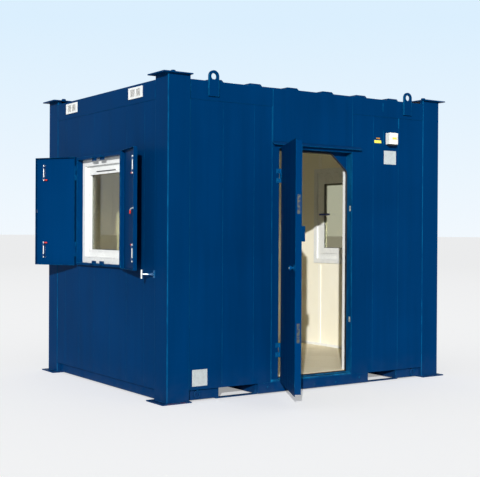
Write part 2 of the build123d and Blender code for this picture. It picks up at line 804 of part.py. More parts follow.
# Air vents on the end rails, each with two sunk grilles
vent_bottom = rail_top - vent_drop
grille_bottom = vent_bottom + (vent_h - grille_h) / 2
with BuildPart() as air_vents:
    for y in (front_vent_y, rear_vent_y):
        block(-vent_t, 0, y - vent_w / 2, y + vent_w / 2, vent_bottom, vent_bottom + vent_h)
        for y0 in (y - grille_gap / 2 - grille_w, y + grille_gap / 2):
            block(-vent_t, -vent_t + grille_depth, y0, y0 + grille_w,
                  grille_bottom, grille_bottom + grille_h, mode=Mode.SUBTRACT)
    mirror(about=mid_x)
save(air_vents.part, "air_vents")

# Lifting lugs on the long top rails
eye_z = rail_top + lug_rise - lug_w / 2
with BuildPart() as lifting_lugs:
    with BuildSketch(Plane.XZ):
        with Locations((lug_x, eye_z)):
            Circle(lug_w / 2)
            Rectangle(lug_w, eye_z - rail_top + lug_lap, align=(Align.CENTER, Align.MAX))
            Circle(lug_hole_r, mode=Mode.SUBTRACT)
    extrude(amount=lug_t)
    mirror(about=mid_x)
    mirror(about=mid_y)
save(lifting_lugs.part, "lifting_lugs")

# Lashing lugs on the base rails
with BuildPart() as lashing_lugs:
    with BuildSketch(Plane.XZ.offset(-base_recess)):
        with Locations((lash_x, post_bottom + base_rail_h / 2)):
            Circle(lash_r)
            Circle(lash_r / 2, mode=Mode.SUBTRACT)
    extrude(amount=lash_t)
    mirror(about=mid_x)
    mirror(about=mid_y)
save(lashing_lugs.part, "lashing_lugs")

# Power inlet on the front wall: a moulded box with a split line below its lid
inlet_bottom = rail_bottom - inlet_drop - inlet_h / 2
split_z = inlet_bottom + inlet_split_rise
with BuildPart() as power_inlet:
    block(inlet_x - inlet_w / 2, inlet_x + inlet_w / 2, wall_recess - inlet_d, wall_recess,
          inlet_bottom, inlet_bottom + inlet_h)
    fillet(power_inlet.edges().filter_by(Axis.Z).group_by(Axis.Y)[0], inlet_round)
    fillet(power_inlet.edges().group_by(Axis.Z)[-1].sort_by(Axis.Y)[:-1], inlet_top_round)
    with BuildSketch(Plane.XY.offset(split_z)):
        with Locations((inlet_x, wall_recess - inlet_d / 2)):
            Rectangle(inlet_w + 2 * cut_over, inlet_d + 2 * cut_over)
            Rectangle(inlet_w - 2 * inlet_split_h, inlet_d - 2 * inlet_split_h, mode=Mode.SUBTRACT)
    extrude(amount=inlet_split_h, mode=Mode.SUBTRACT)
save(power_inlet.part, "power_inlet")
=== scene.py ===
import math

import bmesh
import bpy
from mathutils import Matrix, Vector


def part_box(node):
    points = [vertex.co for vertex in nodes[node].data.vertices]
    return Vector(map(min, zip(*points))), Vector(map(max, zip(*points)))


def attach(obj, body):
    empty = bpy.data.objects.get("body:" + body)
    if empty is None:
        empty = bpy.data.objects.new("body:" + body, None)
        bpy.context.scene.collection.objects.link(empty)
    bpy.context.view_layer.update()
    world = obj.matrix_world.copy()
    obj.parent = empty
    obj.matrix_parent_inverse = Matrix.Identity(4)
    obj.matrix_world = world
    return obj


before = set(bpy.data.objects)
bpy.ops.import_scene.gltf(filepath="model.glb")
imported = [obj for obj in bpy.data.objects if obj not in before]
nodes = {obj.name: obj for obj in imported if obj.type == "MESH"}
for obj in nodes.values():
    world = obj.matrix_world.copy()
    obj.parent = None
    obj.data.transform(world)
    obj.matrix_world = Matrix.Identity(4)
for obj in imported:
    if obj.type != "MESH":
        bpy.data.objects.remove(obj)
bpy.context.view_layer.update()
scene = bpy.context.scene
scene.view_settings.view_transform = "Standard"


# Camera
# It stands off the front left corner of the cabin at about half its height and
# looks almost level, so the front and the left end are both seen.
def put_in_scene(name, data):
    made = bpy.data.objects.new(name, data)
    scene.collection.objects.link(made)
    return made


camera_data = bpy.data.cameras.new("camera")
camera_data.sensor_width = 36.0
camera_data.lens = 73.08
camera = put_in_scene("camera", camera_data)
camera.location = (-3.8606, -6.6886, 1.3674)
camera.rotation_euler = (1.5647, -0.0054, -0.5977)
scene.camera = camera


# Light
# One low key lamp from the front left with firm shadows, and an even pale surround,
# which is what glass and bright metal show as well.
def feed(tree, node, inputs):
    # Links an input where its value is a socket, and sets it where it is not
    for key, value in inputs.items():
        if isinstance(value, bpy.types.NodeSocket):
            tree.links.new(value, node.inputs[key])
        else:
            node.inputs[key].default_value = value


def add_node(tree, kind, inputs=None, **settings):
    made = tree.nodes.new(kind)
    for key, value in settings.items():
        setattr(made, key, value)
    feed(tree, made, inputs or {})
    return made


def number_of(tree, operation, first, second=0.0):
    return add_node(tree, "ShaderNodeMath", {0: first, 1: second}, operation=operation).outputs[0]


def larger(tree, first, *others):
    for other in others:
        first = number_of(tree, "MAXIMUM", first, other)
    return first


def range_of(tree, value, low, high, out_low=0.0, out_high=1.0):
    return add_node(tree, "ShaderNodeMapRange", {0: value, 1: low, 2: high, 3: out_low, 4: out_high}).outputs[0]


def blend_of(tree, share, first, second):
    return add_node(tree, "ShaderNodeMix", {0: share, 6: first, 7: second}, data_type="RGBA").outputs[2]


def axes_of(tree, where):
    return add_node(tree, "ShaderNodeSeparateXYZ", {0: where}).outputs


def srgb(red, green, blue):
    def linear(part):
        part = part / 255
        return part / 12.92 if part <= 0.04045 else ((part + 0.055) / 1.055) ** 2.4
    return (linear(red), linear(green), linear(blue), 1.0)


key_lamp = bpy.data.lights.new("key_lamp", "SUN")
key_lamp.energy = 4.0
key_lamp.angle = math.radians(0.6)
key = put_in_scene("key_lamp", key_lamp)
toward_key = Vector((-0.603, -0.747, 0.279))
key.rotation_euler = toward_key.to_track_quat("Z", "Y").to_euler()

world = bpy.data.worlds.new("pale_surround")
scene.world = world
world.use_nodes = True
tree = world.node_tree
tree.nodes.clear()
direction = add_node(tree, "ShaderNodeTexCoord").outputs["Generated"]
rise = range_of(tree, axes_of(tree, direction)["Z"], -0.02, 0.21)
sky = blend_of(tree, rise, srgb(243, 249, 254), srgb(219, 239, 254))
seen = add_node(tree, "ShaderNodeBackground", {0: sky, 1: 1.0}).outputs[0]
fill = add_node(tree, "ShaderNodeBackground", {0: srgb(249, 252, 255), 1: 0.3}).outputs[0]
path = add_node(tree, "ShaderNodeLightPath").outputs
shown = larger(tree, path["Is Camera Ray"], path["Is Glossy Ray"], path["Is Transmission Ray"])
mixed = add_node(tree, "ShaderNodeMixShader", {0: shown, 1: fill, 2: seen}).outputs[0]
add_node(tree, "ShaderNodeOutputWorld", {0: mixed})


# Floor of the studio
# A wide pale sheet, so wide that its edge lies at the horizon. It is a little greyer far
# away than under the cabin.
def new_material(name):
    made = bpy.data.materials.new(name)
    made.use_nodes = True
    shader = next(n for n in made.node_tree.nodes if n.type == "BSDF_PRINCIPLED")
    return made, made.node_tree, shader


def times(tree, first, *others):
    for other in others:
        first = number_of(tree, "MULTIPLY", first, other)
    return first


def object_coords(tree, scale=None):
    where = add_node(tree, "ShaderNodeTexCoord").outputs["Object"]
    if scale is not None:
        where = add_node(tree, "ShaderNodeMapping", {0: where, 3: scale}).outputs[0]
    return where


def object_from(bm, name, material):
    bmesh.ops.recalc_face_normals(bm, faces=bm.faces)
    mesh = bpy.data.meshes.new(name)
    bm.to_mesh(mesh)
    bm.free()
    mesh.materials.append(material)
    return put_in_scene(name, mesh)


floor_reach = 400.0
grey_near, grey_far = (0.9, 0.9, 0.9, 1.0), (0.8, 0.8, 0.8, 1.0)
floor_paint, tree, shader = new_material("studio_floor")
distance = add_node(tree, "ShaderNodeVectorMath", {0: object_coords(tree)}, operation="LENGTH").outputs["Value"]
path = add_node(tree, "ShaderNodeLightPath").outputs
feed(tree, shader, {
    "Base Color": blend_of(tree, range_of(tree, distance, 2.0, 34.0), grey_near, grey_far),
    "Roughness": 0.9, "Specular IOR Level": 0.0, "Emission Color": (1.0, 1.0, 1.0, 1.0),
    "Emission Strength": times(tree, path["Is Camera Ray"], 0.32)})
bm = bmesh.new()
bmesh.ops.create_circle(bm, cap_ends=True, segments=96, radius=floor_reach)
floor = object_from(bm, "studio_floor", floor_paint)


# Steel frame of the cabin: posts, rails, plates, lugs and the fork pockets
# Folded and welded steel sheet, sprayed navy blue after welding. The paint is a little
# uneven, wavy over the sheets, and lighter along its edges and folds: partly rubbed wear, partly painted highlight.
COLOUR, NUMBER, VECTOR = "NodeSocketColor", "NodeSocketFloat", "NodeSocketVector"


def new_group(name, inputs, outputs, kind="ShaderNodeTree"):
    made = bpy.data.node_groups.new(name, kind)
    for title, sort, value in inputs:
        socket = made.interface.new_socket(title, in_out="INPUT", socket_type=sort)
        if value is not None:
            socket.default_value = value
    for title, sort in outputs:
        made.interface.new_socket(title, in_out="OUTPUT", socket_type=sort)
    return made, made.nodes.new("NodeGroupInput").outputs, made.nodes.new("NodeGroupOutput")


def use_group(tree, group, inputs):
    return add_node(tree, "ShaderNodeGroup", inputs, node_tree=group).outputs


def apart(tree, first, second):
    return number_of(tree, "ABSOLUTE", number_of(tree, "SUBTRACT", first, second))


def noise_of(tree, where, scale, detail=2.0, rough=0.5):
    return add_node(tree, "ShaderNodeTexNoise", {"Vector": where, "Scale": scale, "Detail": detail,
                                                 "Roughness": rough}).outputs["Fac"]


def bump_of(tree, strength, distance, height, normal=None):
    inputs = {"Strength": strength, "Distance": distance, "Height": height}
    if normal is not None:
        inputs["Normal"] = normal
    return add_node(tree, "ShaderNodeBump", inputs).outputs[0]


# Edge mask for rubbed wear and painted highlights: where the rounded normal leaves the flat one, broken up by noise
edge_wear_and_highlight, gin, gout = new_group("edge_wear_and_highlight", [
    ("Radius", NUMBER, 0.004), ("Amount", NUMBER, 1.0), ("Patch Size", NUMBER, 14.0)],
    [("Mask", NUMBER), ("Normal", VECTOR)])
rounded = add_node(edge_wear_and_highlight, "ShaderNodeBevel", {"Radius": gin["Radius"]}, samples=4).outputs[0]
flat = add_node(edge_wear_and_highlight, "ShaderNodeNewGeometry").outputs["Normal"]
close = add_node(edge_wear_and_highlight, "ShaderNodeVectorMath", {0: rounded, 1: flat},
                 operation="DOT_PRODUCT").outputs["Value"]
patch = noise_of(edge_wear_and_highlight, object_coords(edge_wear_and_highlight), gin["Patch Size"], 4.0)
feed(edge_wear_and_highlight, gout, {
    "Mask": times(edge_wear_and_highlight, range_of(edge_wear_and_highlight, close, 0.995, 0.86), range_of(edge_wear_and_highlight, patch, 0.38, 0.62),
                  gin["Amount"]),
    "Normal": rounded})

# Sprayed skin: slow changes of tone, faint runs down the sheet, orange peel and soft waves
sprayed, gin, gout = new_group("sprayed_skin", [
    ("Color", COLOUR, None), ("Tone Change", NUMBER, 0.1), ("Wave Depth", NUMBER, 0.3),
    ("Normal", VECTOR, None)], [("Color", COLOUR), ("Roughness", NUMBER), ("Normal", VECTOR)])
where = object_coords(sprayed)
cloud = noise_of(sprayed, where, 1.3, 3.0)
runs = noise_of(sprayed, object_coords(sprayed, (4.0, 4.0, 0.22)), 2.6, 4.0, 0.6)
both = number_of(sprayed, "ADD", times(sprayed, cloud, 0.5), times(sprayed, runs, 0.5))
swing = times(sprayed, range_of(sprayed, both, 0.35, 0.65, -1.0, 1.0), gin["Tone Change"])
tinted = add_node(sprayed, "ShaderNodeVectorMath", {0: gin["Color"], 3: number_of(sprayed, "ADD", swing, 1.0)},
                  operation="SCALE").outputs[0]
waved = bump_of(sprayed, gin["Wave Depth"], 0.006, noise_of(sprayed, where, 2.4, 1.0), gin["Normal"])
feed(sprayed, gout, {
    "Color": tinted, "Roughness": range_of(sprayed, runs, 0.3, 0.7, 0.3, 0.42),
    "Normal": bump_of(sprayed, 0.18, 0.0004, noise_of(sprayed, where, 260.0), waved)})

# Ground dust: a thin dry film low down, thicker near the foot and on what faces up
dusty, gin, gout = new_group("ground_dust", [
    ("Color", COLOUR, None), ("Dust Color", COLOUR, srgb(122, 118, 108)), ("Height", NUMBER, 0.25),
    ("Amount", NUMBER, 0.2)], [("Color", COLOUR), ("Mask", NUMBER)])
where = object_coords(dusty)
level = number_of(dusty, "DIVIDE", axes_of(dusty, where)["Z"], gin["Height"])
low = range_of(dusty, number_of(dusty, "SUBTRACT", 1.0, level), 0.0, 1.0)
facing = axes_of(dusty, add_node(dusty, "ShaderNodeNewGeometry").outputs["Normal"])["Z"]
upward = times(dusty, range_of(dusty, facing, 0.3, 1.0), 0.8)
grit = range_of(dusty, noise_of(dusty, where, 9.0, 6.0, 0.65), 0.35, 0.75)
layer = times(dusty, larger(dusty, low, upward), grit, gin["Amount"])
feed(dusty, gout, {"Color": blend_of(dusty, layer, gin["Color"], gin["Dust Color"]), "Mask": layer})

# Wear and highlight line: a stripe where one coordinate comes close to a fold or a joint, used for painted highlights
# and, on the sill, for rubbed wear
wear_and_highlight_line, gin, gout = new_group("wear_and_highlight_line", [
    ("Along", NUMBER, 0.0), ("Place", NUMBER, 0.0), ("Reach", NUMBER, 0.006)], [("Mask", NUMBER)])
share = number_of(wear_and_highlight_line, "DIVIDE", apart(wear_and_highlight_line, gin["Along"], gin["Place"]), gin["Reach"])
feed(wear_and_highlight_line, gout, {"Mask": range_of(wear_and_highlight_line, share, 0.35, 1.0, 1.0, 0.0)})


def line_mask(tree, along, place, reach):
    return use_group(tree, wear_and_highlight_line, {"Along": along, "Place": place, "Reach": reach})["Mask"]


navy = srgb(0, 48, 93)
# Lighter blue for rubbed edges and painted highlights
worn_and_highlit_navy = srgb(14, 106, 152)


def navy_paint(name, color=navy, tone=0.09, wave=0.3, rub_and_highlight=0.8, radius=0.004, dust=0.05, dust_height=0.25,
               lines=None):
    made, tree, shader = new_material(name)
    edge = use_group(tree, edge_wear_and_highlight, {"Radius": radius, "Amount": rub_and_highlight})
    skin = use_group(tree, sprayed, {"Color": color, "Tone Change": tone, "Wave Depth": wave,
                                     "Normal": edge["Normal"]})
    bright = edge["Mask"]
    if lines:
        patch = noise_of(tree, object_coords(tree, (5.0, 5.0, 1.0)), 2.6, 8.0, 0.75)
        stripes = times(tree, lines(tree, axes_of(tree, object_coords(tree))),
                        range_of(tree, patch, 0.40, 0.66, 0.10, 0.80))
        bright = larger(tree, bright, stripes)
    # The edge mask and the listed lines blend the paint to a lighter blue: partly rubbed wear, partly painted
    # highlight
    worn_and_highlit = blend_of(tree, bright, skin["Color"], worn_and_highlit_navy)
    layer = use_group(tree, dusty, {"Color": worn_and_highlit, "Height": dust_height, "Amount": dust})
    feed(tree, shader, {
        "Base Color": layer["Color"], "Normal": skin["Normal"],
        "Roughness": number_of(tree, "ADD", skin["Roughness"], times(tree, layer["Mask"], 0.8)),
        "Specular IOR Level": 0.01, "Specular Tint": (0.05, 0.5, 1.0, 1.0)})
    return made


def add_rust(material, threshold):
    # Rust spots where the paint is chipped off an edge close to the ground
    tree = material.node_tree
    shader = next(n for n in tree.nodes if n.type == "BSDF_PRINCIPLED")
    where = object_coords(tree)
    edge = use_group(tree, edge_wear_and_highlight, {"Radius": 0.008, "Patch Size": 5.0})["Mask"]
    spots = range_of(tree, noise_of(tree, where, 11.0, 6.0, 0.7), threshold, threshold + 0.06)
    low = range_of(tree, axes_of(tree, where)["Z"], 0.02, 0.05, 1.0, 0.0)
    rust = blend_of(tree, noise_of(tree, where, 90.0, 4.0), srgb(150, 78, 40), srgb(92, 48, 28))
    painted = shader.inputs["Base Color"].links[0].from_socket
    feed(tree, shader, {"Base Color": blend_of(tree, times(tree, edge, spots, low), painted, rust)})


def finish_nodes(material, *names):
    for name in names:
        part = nodes[name]
        if part.material_slots:
            for held in part.material_slots:
                held.material = material
        else:
            part.data.materials.append(material)


low_corner, high_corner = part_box("corner_posts")
cabin_w, cabin_d = high_corner.x, high_corner.y
post_leg = 0.210


def post_fold_highlights(tree, part):
    # Painted highlights on the outer fold and both edges of every post, by the distance from the nearer end
    inset = [number_of(tree, "SUBTRACT", size / 2, apart(tree, part[axis], size / 2))
             for axis, size in (("X", cabin_w), ("Y", cabin_d))]

    def upright(x, y, reach_x, reach_y):
        return number_of(tree, "MINIMUM", line_mask(tree, inset[0], x, reach_x), line_mask(tree, inset[1], y, reach_y))

    return larger(tree, upright(0.0, 0.0, 0.011, 0.011), upright(post_leg, 0.0, 0.009, 0.010),
                  upright(0.0, post_leg, 0.010, 0.009))


def short_line(tree, part, x, middle, half, share):
    # One upright line at x that ends half above and half below its middle
    inside = range_of(tree, apart(tree, part["Z"], middle), half - 0.01, half, share, 0.0)
    return times(tree, line_mask(tree, part["X"], x, 0.005), inside)


def sheet_joint_highlights(tree, part):
    # Painted highlights along the pressed joint lines of the front sheets, which lie alike about the middle,
    # the two beside the doorway and two short ones by the power inlet
    offset = apart(tree, part["X"], cabin_w / 2)
    pair = larger(tree, line_mask(tree, offset, 0.666, 0.004), line_mask(tree, offset, 0.978, 0.005))
    beside = larger(tree, line_mask(tree, part["X"], 1.021, 0.008), line_mask(tree, part["X"], 1.913, 0.008))
    return larger(tree, times(tree, pair, 0.3), times(tree, beside, 0.75),
                  short_line(tree, part, 2.480, 2.450, 0.110, 1.6),
                  short_line(tree, part, 2.290, 2.253, 0.067, 1.2))


def rail_joint_highlight(tree, part):
    # A painted highlight on the short upright joint in the front rail, left of the right lifting lug
    return short_line(tree, part, 2.279, 2.528, 0.044, 1.3)


def lug_edge_highlights(tree, part):
    # Painted highlights on the upright edges of the four lifting lugs
    offset = apart(tree, part["X"], cabin_w / 2)
    return larger(tree, line_mask(tree, offset, 1.029, 0.008), line_mask(tree, offset, 1.129, 0.008))


frame_paint = navy_paint("navy_frame_paint")
base_paint = navy_paint("navy_base_paint", dust=0.1, dust_height=0.12, rub_and_highlight=0.9)
foot_paint = navy_paint("navy_foot_paint", dust=0.1, dust_height=0.12, rub_and_highlight=0.9)
add_rust(foot_paint, 0.52)
finish_nodes(navy_paint("navy_lug_paint", rub_and_highlight=1.0, lines=lug_edge_highlights), "lifting_lugs")
finish_nodes(navy_paint("navy_post_paint", lines=post_fold_highlights), "corner_posts")
finish_nodes(navy_paint("navy_rail_paint", lines=rail_joint_highlight), "top_rails")
finish_nodes(frame_paint, "stacking_spigots", "top_plates")
finish_nodes(base_paint, "base_rails", "fork_pockets", "lashing_lugs")
finish_nodes(foot_paint, "foot_plates")


# Weld beads where the posts meet the foot and top plates
# Short overlapping runs of weld metal, painted over with the frame. Each ripple is one
# round drop set along the joint line.
SHAPE, WHOLE, FINISH = "NodeSocketGeometry", "NodeSocketInt", "NodeSocketMaterial"


def shape_tree(name, inputs):
    return new_group(name, [("Geometry", SHAPE, None), *inputs], [("Geometry", SHAPE)], "GeometryNodeTree")


def end_tree(tree, gout, instances, material):
    real = add_node(tree, "GeometryNodeRealizeInstances", {0: instances})
    coated = add_node(tree, "GeometryNodeSetMaterial", {0: real.outputs[0], "Material": material})
    feed(tree, gout, {0: coated.outputs[0]})


def shaped_piece(name, mesh, tree, values, body):
    # Puts the tree on a new object with these inputs and keeps only the plain mesh that it makes
    made = put_in_scene(name, mesh)
    change = made.modifiers.new("shape", "NODES")
    change.node_group = tree
    for item in tree.interface.items_tree:
        if item.item_type == "SOCKET" and item.in_out == "INPUT" and item.name in values:
            change[item.identifier] = values[item.name]
    bpy.context.view_layer.update()
    plain = bpy.data.meshes.new_from_object(made.evaluated_get(bpy.context.evaluated_depsgraph_get()))
    made.modifiers.clear()
    made.data = plain
    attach(made, body)


bead_pitch, bead_half = 0.007, 0.0045
weld_tree, gin, gout = shape_tree("weld_run", [
    ("Pitch", NUMBER, bead_pitch), ("Half Width", NUMBER, bead_half), ("Seed", WHOLE, 3), ("Paint", FINISH, None)])
line = add_node(weld_tree, "GeometryNodeMeshToCurve", {0: gin["Geometry"]}).outputs[0]
steps = add_node(weld_tree, "GeometryNodeResampleCurve", {0: line, "Length": gin["Pitch"]}, mode="LENGTH")
drop = add_node(weld_tree, "GeometryNodeMeshIcoSphere", {"Radius": gin["Half Width"], "Subdivisions": 1})
drop_smooth = add_node(weld_tree, "GeometryNodeSetShadeSmooth", {0: drop.outputs[0]})
vary = add_node(weld_tree, "FunctionNodeRandomValue", {2: 0.8, 3: 1.15, "Seed": gin["Seed"]}, data_type="FLOAT")
placed = add_node(weld_tree, "GeometryNodeInstanceOnPoints", {
    "Points": steps.outputs[0], "Instance": drop_smooth.outputs[0], "Scale": vary.outputs[1]})
end_tree(weld_tree, gout, placed.outputs[0], gin["Paint"])

bm = bmesh.new()
for z in (low_corner.z, high_corner.z):
    for x, inward_x in ((0.0, post_leg), (cabin_w, -post_leg)):
        for y, inward_y in ((0.0, post_leg), (cabin_d, -post_leg)):
            ends = [bm.verts.new(at) for at in ((x + inward_x, y, z), (x, y, z), (x, y + inward_y, z))]
            bm.edges.new(ends[:2])
            bm.edges.new(ends[1:])
mesh = bpy.data.meshes.new("post_welds")
bm.to_mesh(mesh)
bm.free()
shaped_piece("post_welds", mesh, weld_tree, {"Pitch": bead_pitch, "Half Width": bead_half, "Seed": 3,
                                             "Paint": frame_paint}, "cabin")


# Timber joists, deck and sheet vinyl of the floor
# Softwood joists under a plywood deck, both bare, and a beige flecked sheet vinyl on top.
def timber(name, light, dark, across):
    made, tree, shader = new_material(name)
    where = object_coords(tree, across)
    rings = noise_of(tree, where, 9.0, 6.0, 0.6)
    fibre = noise_of(tree, where, 70.0, 3.0, 0.7)
    grain = number_of(tree, "ADD", times(tree, rings, 0.7), times(tree, fibre, 0.3))
    feed(tree, shader, {
        "Base Color": blend_of(tree, range_of(tree, grain, 0.35, 0.68), light, dark),
        "Roughness": range_of(tree, fibre, 0.3, 0.7, 0.6, 0.8),
        "Normal": bump_of(tree, 0.35, 0.001, fibre)})
    return made


finish_nodes(timber("softwood_joists", srgb(206, 172, 120), srgb(160, 118, 70), (7.0, 0.6, 7.0)), "floor_joists")
finish_nodes(timber("plywood_deck", srgb(196, 160, 112), srgb(150, 112, 70), (0.8, 7.0, 7.0)), "floor_deck")

vinyl, tree, shader = new_material("beige_sheet_vinyl")
where = object_coords(tree)
fleck = noise_of(tree, where, 420.0)
scuff = noise_of(tree, where, 3.5, 5.0, 0.6)
speckled = blend_of(tree, range_of(tree, fleck, 0.42, 0.62), srgb(230, 217, 184), srgb(244, 233, 206))
feed(tree, shader, {
    "Base Color": blend_of(tree, range_of(tree, scuff, 0.5, 0.8, 0.0, 0.45), speckled, srgb(216, 202, 170)),
    "Roughness": range_of(tree, scuff, 0.3, 0.7, 0.38, 0.6),
    "Normal": bump_of(tree, 0.25, 0.0005, fleck)})
finish_nodes(vinyl, "floor_covering")


# Roof sheet and its screws
# Box ribbed steel sheet in the same navy, held to the rails by hexagon headed screws
# through every trough. Dust lies on it.
finish_nodes(navy_paint("navy_roof_sheet", tone=0.14, wave=0.4, rub_and_highlight=0.5, radius=0.003, dust=0.3, dust_height=0.01),
             "roof_sheet")

bright_zinc, tree, shader = new_material("bright_zinc")
where = object_coords(tree)
spangle = add_node(tree, "ShaderNodeTexVoronoi", {"Vector": where, "Scale": 160.0}).outputs["Color"]
spangle = add_node(tree, "ShaderNodeSeparateColor", {0: spangle}).outputs[0]
cloudy = noise_of(tree, where, 35.0, 4.0)
edge = use_group(tree, edge_wear_and_highlight, {"Radius": 0.0015})
feed(tree, shader, {
    "Base Color": blend_of(tree, cloudy, srgb(205, 205, 200), srgb(232, 233, 230)), "Metallic": 0.75,
    "Roughness": range_of(tree, spangle, 0.0, 1.0, 0.28, 0.46),
    "Normal": bump_of(tree, 0.2, 0.0005, cloudy, edge["Normal"])})

fastener_tree, gin, gout = shape_tree("fastener_row", [
    ("Head Radius", NUMBER, 0.006), ("Head Height", NUMBER, 0.004), ("Sides", WHOLE, 6),
    ("Crown", NUMBER, 0.8), ("Washer", NUMBER, 1.5), ("Seed", WHOLE, 5), ("Finish", FINISH, None)])
crown = times(fastener_tree, gin["Head Radius"], gin["Crown"])
head = add_node(fastener_tree, "GeometryNodeMeshCone", {
    "Vertices": gin["Sides"], "Radius Top": crown, "Radius Bottom": gin["Head Radius"], "Depth": gin["Head Height"]})
skirt_r = times(fastener_tree, gin["Head Radius"], gin["Washer"])
skirt = add_node(fastener_tree, "GeometryNodeMeshCone", {
    "Vertices": 16, "Radius Top": times(fastener_tree, skirt_r, 0.9), "Radius Bottom": skirt_r,
    "Depth": times(fastener_tree, gin["Head Height"], 0.28)})
both = add_node(fastener_tree, "GeometryNodeJoinGeometry")
for part in (head, skirt):
    feed(fastener_tree, both, {0: part.outputs[0]})
facing = add_node(fastener_tree, "GeometryNodeInputNamedAttribute", {"Name": "facing"}, data_type="FLOAT_VECTOR")
upright = add_node(fastener_tree, "FunctionNodeAlignRotationToVector", {"Vector": facing.outputs[0]}, axis="Z")
twist = add_node(fastener_tree, "FunctionNodeRandomValue", {2: 0.0, 3: 6.28, "Seed": gin["Seed"]}, data_type="FLOAT")
spun = add_node(fastener_tree, "FunctionNodeAxisAngleToRotation", {
    "Axis": (0.0, 0.0, 1.0), "Angle": twist.outputs[1]})
turn = add_node(fastener_tree, "FunctionNodeRotateRotation", {0: upright.outputs[0], 1: spun.outputs[0]},
                rotation_space="LOCAL")
placed = add_node(fastener_tree, "GeometryNodeInstanceOnPoints", {
    "Points": gin["Geometry"], "Instance": both.outputs[0], "Rotation": turn.outputs[0]})
end_tree(fastener_tree, gout, placed.outputs[0], gin["Finish"])


def facing_points(name, spots):
    # Loose points that each hold the way they face
    mesh = bpy.data.meshes.new(name)
    mesh.from_pydata([tuple(point) for point, _ in spots], [], [])
    facing = mesh.attributes.new("facing", "FLOAT_VECTOR", "POINT")
    for held, (_, way) in zip(facing.data, spots):
        held.vector = way
    return mesh


def fasteners(name, spots, radius, height, material, body="cabin", sides=6, crown=0.85, washer=1.5,
              place=None):
    # One row of like screw or rivet heads. Each spot is a point and the way that it faces.
    if place:
        turned = place.to_3x3()
        spots = [(place @ Vector(point), turned @ Vector(way)) for point, way in spots]
    shaped_piece(name, facing_points(name, spots), fastener_tree, {
        "Head Radius": radius, "Head Height": height, "Sides": sides, "Crown": crown, "Washer": washer, "Seed": 5,
        "Finish": material}, body)


sheet_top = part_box("top_rails")[1].z + 0.002
rib_pitch, first_rib = 0.390, 0.460
side_margin, end_margin = 0.24, 0.04
troughs = [x for x in (first_rib + rib_pitch * (i + 0.5) for i in range(-1, 6))
           if side_margin < x < cabin_w - side_margin]
fasteners("roof_screws", [((x, y, sheet_top), (0, 0, 1)) for x in troughs
                          for y in (end_margin, cabin_d / 3, cabin_d * 2 / 3, cabin_d - end_margin)],
          0.007, 0.006, bright_zinc)


# Wall sheets
# Flat navy sheet in panels about 0.31 m wide, joined by pressed lines, over insulation.
finish_nodes(navy_paint("navy_sheet_paint", tone=0.12, wave=0.55, rub_and_highlight=0.35, radius=0.003, lines=sheet_joint_highlights),
             "front_wall_left", "front_wall_right", "front_wall_over_door", "back_wall", "left_wall", "right_wall")


# Linings, ceiling, cover strips and skirting of the room
# Cream faced board, its joints covered by thin strips of the same cream plastic, and a
# low white skirting along the floor.
def board(name, color, shade):
    made, tree, shader = new_material(name)
    where = object_coords(tree)
    cloud = noise_of(tree, where, 2.2, 4.0, 0.55)
    feed(tree, shader, {
        "Base Color": blend_of(tree, range_of(tree, cloud, 0.35, 0.75), color, shade),
        "Roughness": range_of(tree, cloud, 0.3, 0.7, 0.45, 0.6), "Specular IOR Level": 0.3,
        "Normal": bump_of(tree, 0.15, 0.0004, noise_of(tree, where, 480.0))})
    return made


def plastic(name, color, shade, rough=(0.22, 0.34)):
    made, tree, shader = new_material(name)
    where = object_coords(tree)
    cloud = noise_of(tree, where, 6.0, 4.0, 0.6)
    edge = use_group(tree, edge_wear_and_highlight, {"Radius": 0.002})
    feed(tree, shader, {
        "Base Color": blend_of(tree, range_of(tree, cloud, 0.4, 0.8), color, shade),
        "Roughness": range_of(tree, cloud, 0.3, 0.7, *rough),
        "Normal": bump_of(tree, 0.08, 0.0004, noise_of(tree, where, 300.0), edge["Normal"])})
    return made


def bar(bm, low, high, soften=0.001, segments=2):
    # A bar with its edges rounded over
    middle = (Vector(low) + Vector(high)) / 2
    size = Vector(high) - Vector(low)
    made = bmesh.ops.create_cube(bm, size=1.0, matrix=Matrix.Translation(middle) @ Matrix.Diagonal((*size, 1.0)))
    edges = {e for v in made["verts"] for e in v.link_edges}
    if soften:
        bmesh.ops.bevel(bm, geom=list(edges), offset=soften, segments=segments, affect="EDGES", profile=0.5)


def piece(bm, name, material, body="cabin", place=None):
    if place is not None:
        bm.transform(place)
    made = object_from(bm, name, material)
    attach(made, body)
    return made


def bars(name, boxes, material, body="cabin", place=None):
    # One piece made of bars, each given as its low corner, high corner and what else bar takes
    bm = bmesh.new()
    for box in boxes:
        bar(bm, *box)
    piece(bm, name, material, body, place)


cream_board = board("cream_lining_board", srgb(250, 245, 226), srgb(247, 241, 218))
cream_strip = board("cream_cover_strip", srgb(252, 248, 234), srgb(249, 244, 226))
white_plastic = plastic("white_window_plastic", srgb(234, 235, 232), srgb(224, 225, 222))
finish_nodes(cream_board, "lining_front", "lining_back", "lining_left", "lining_right", "ceiling_panel")

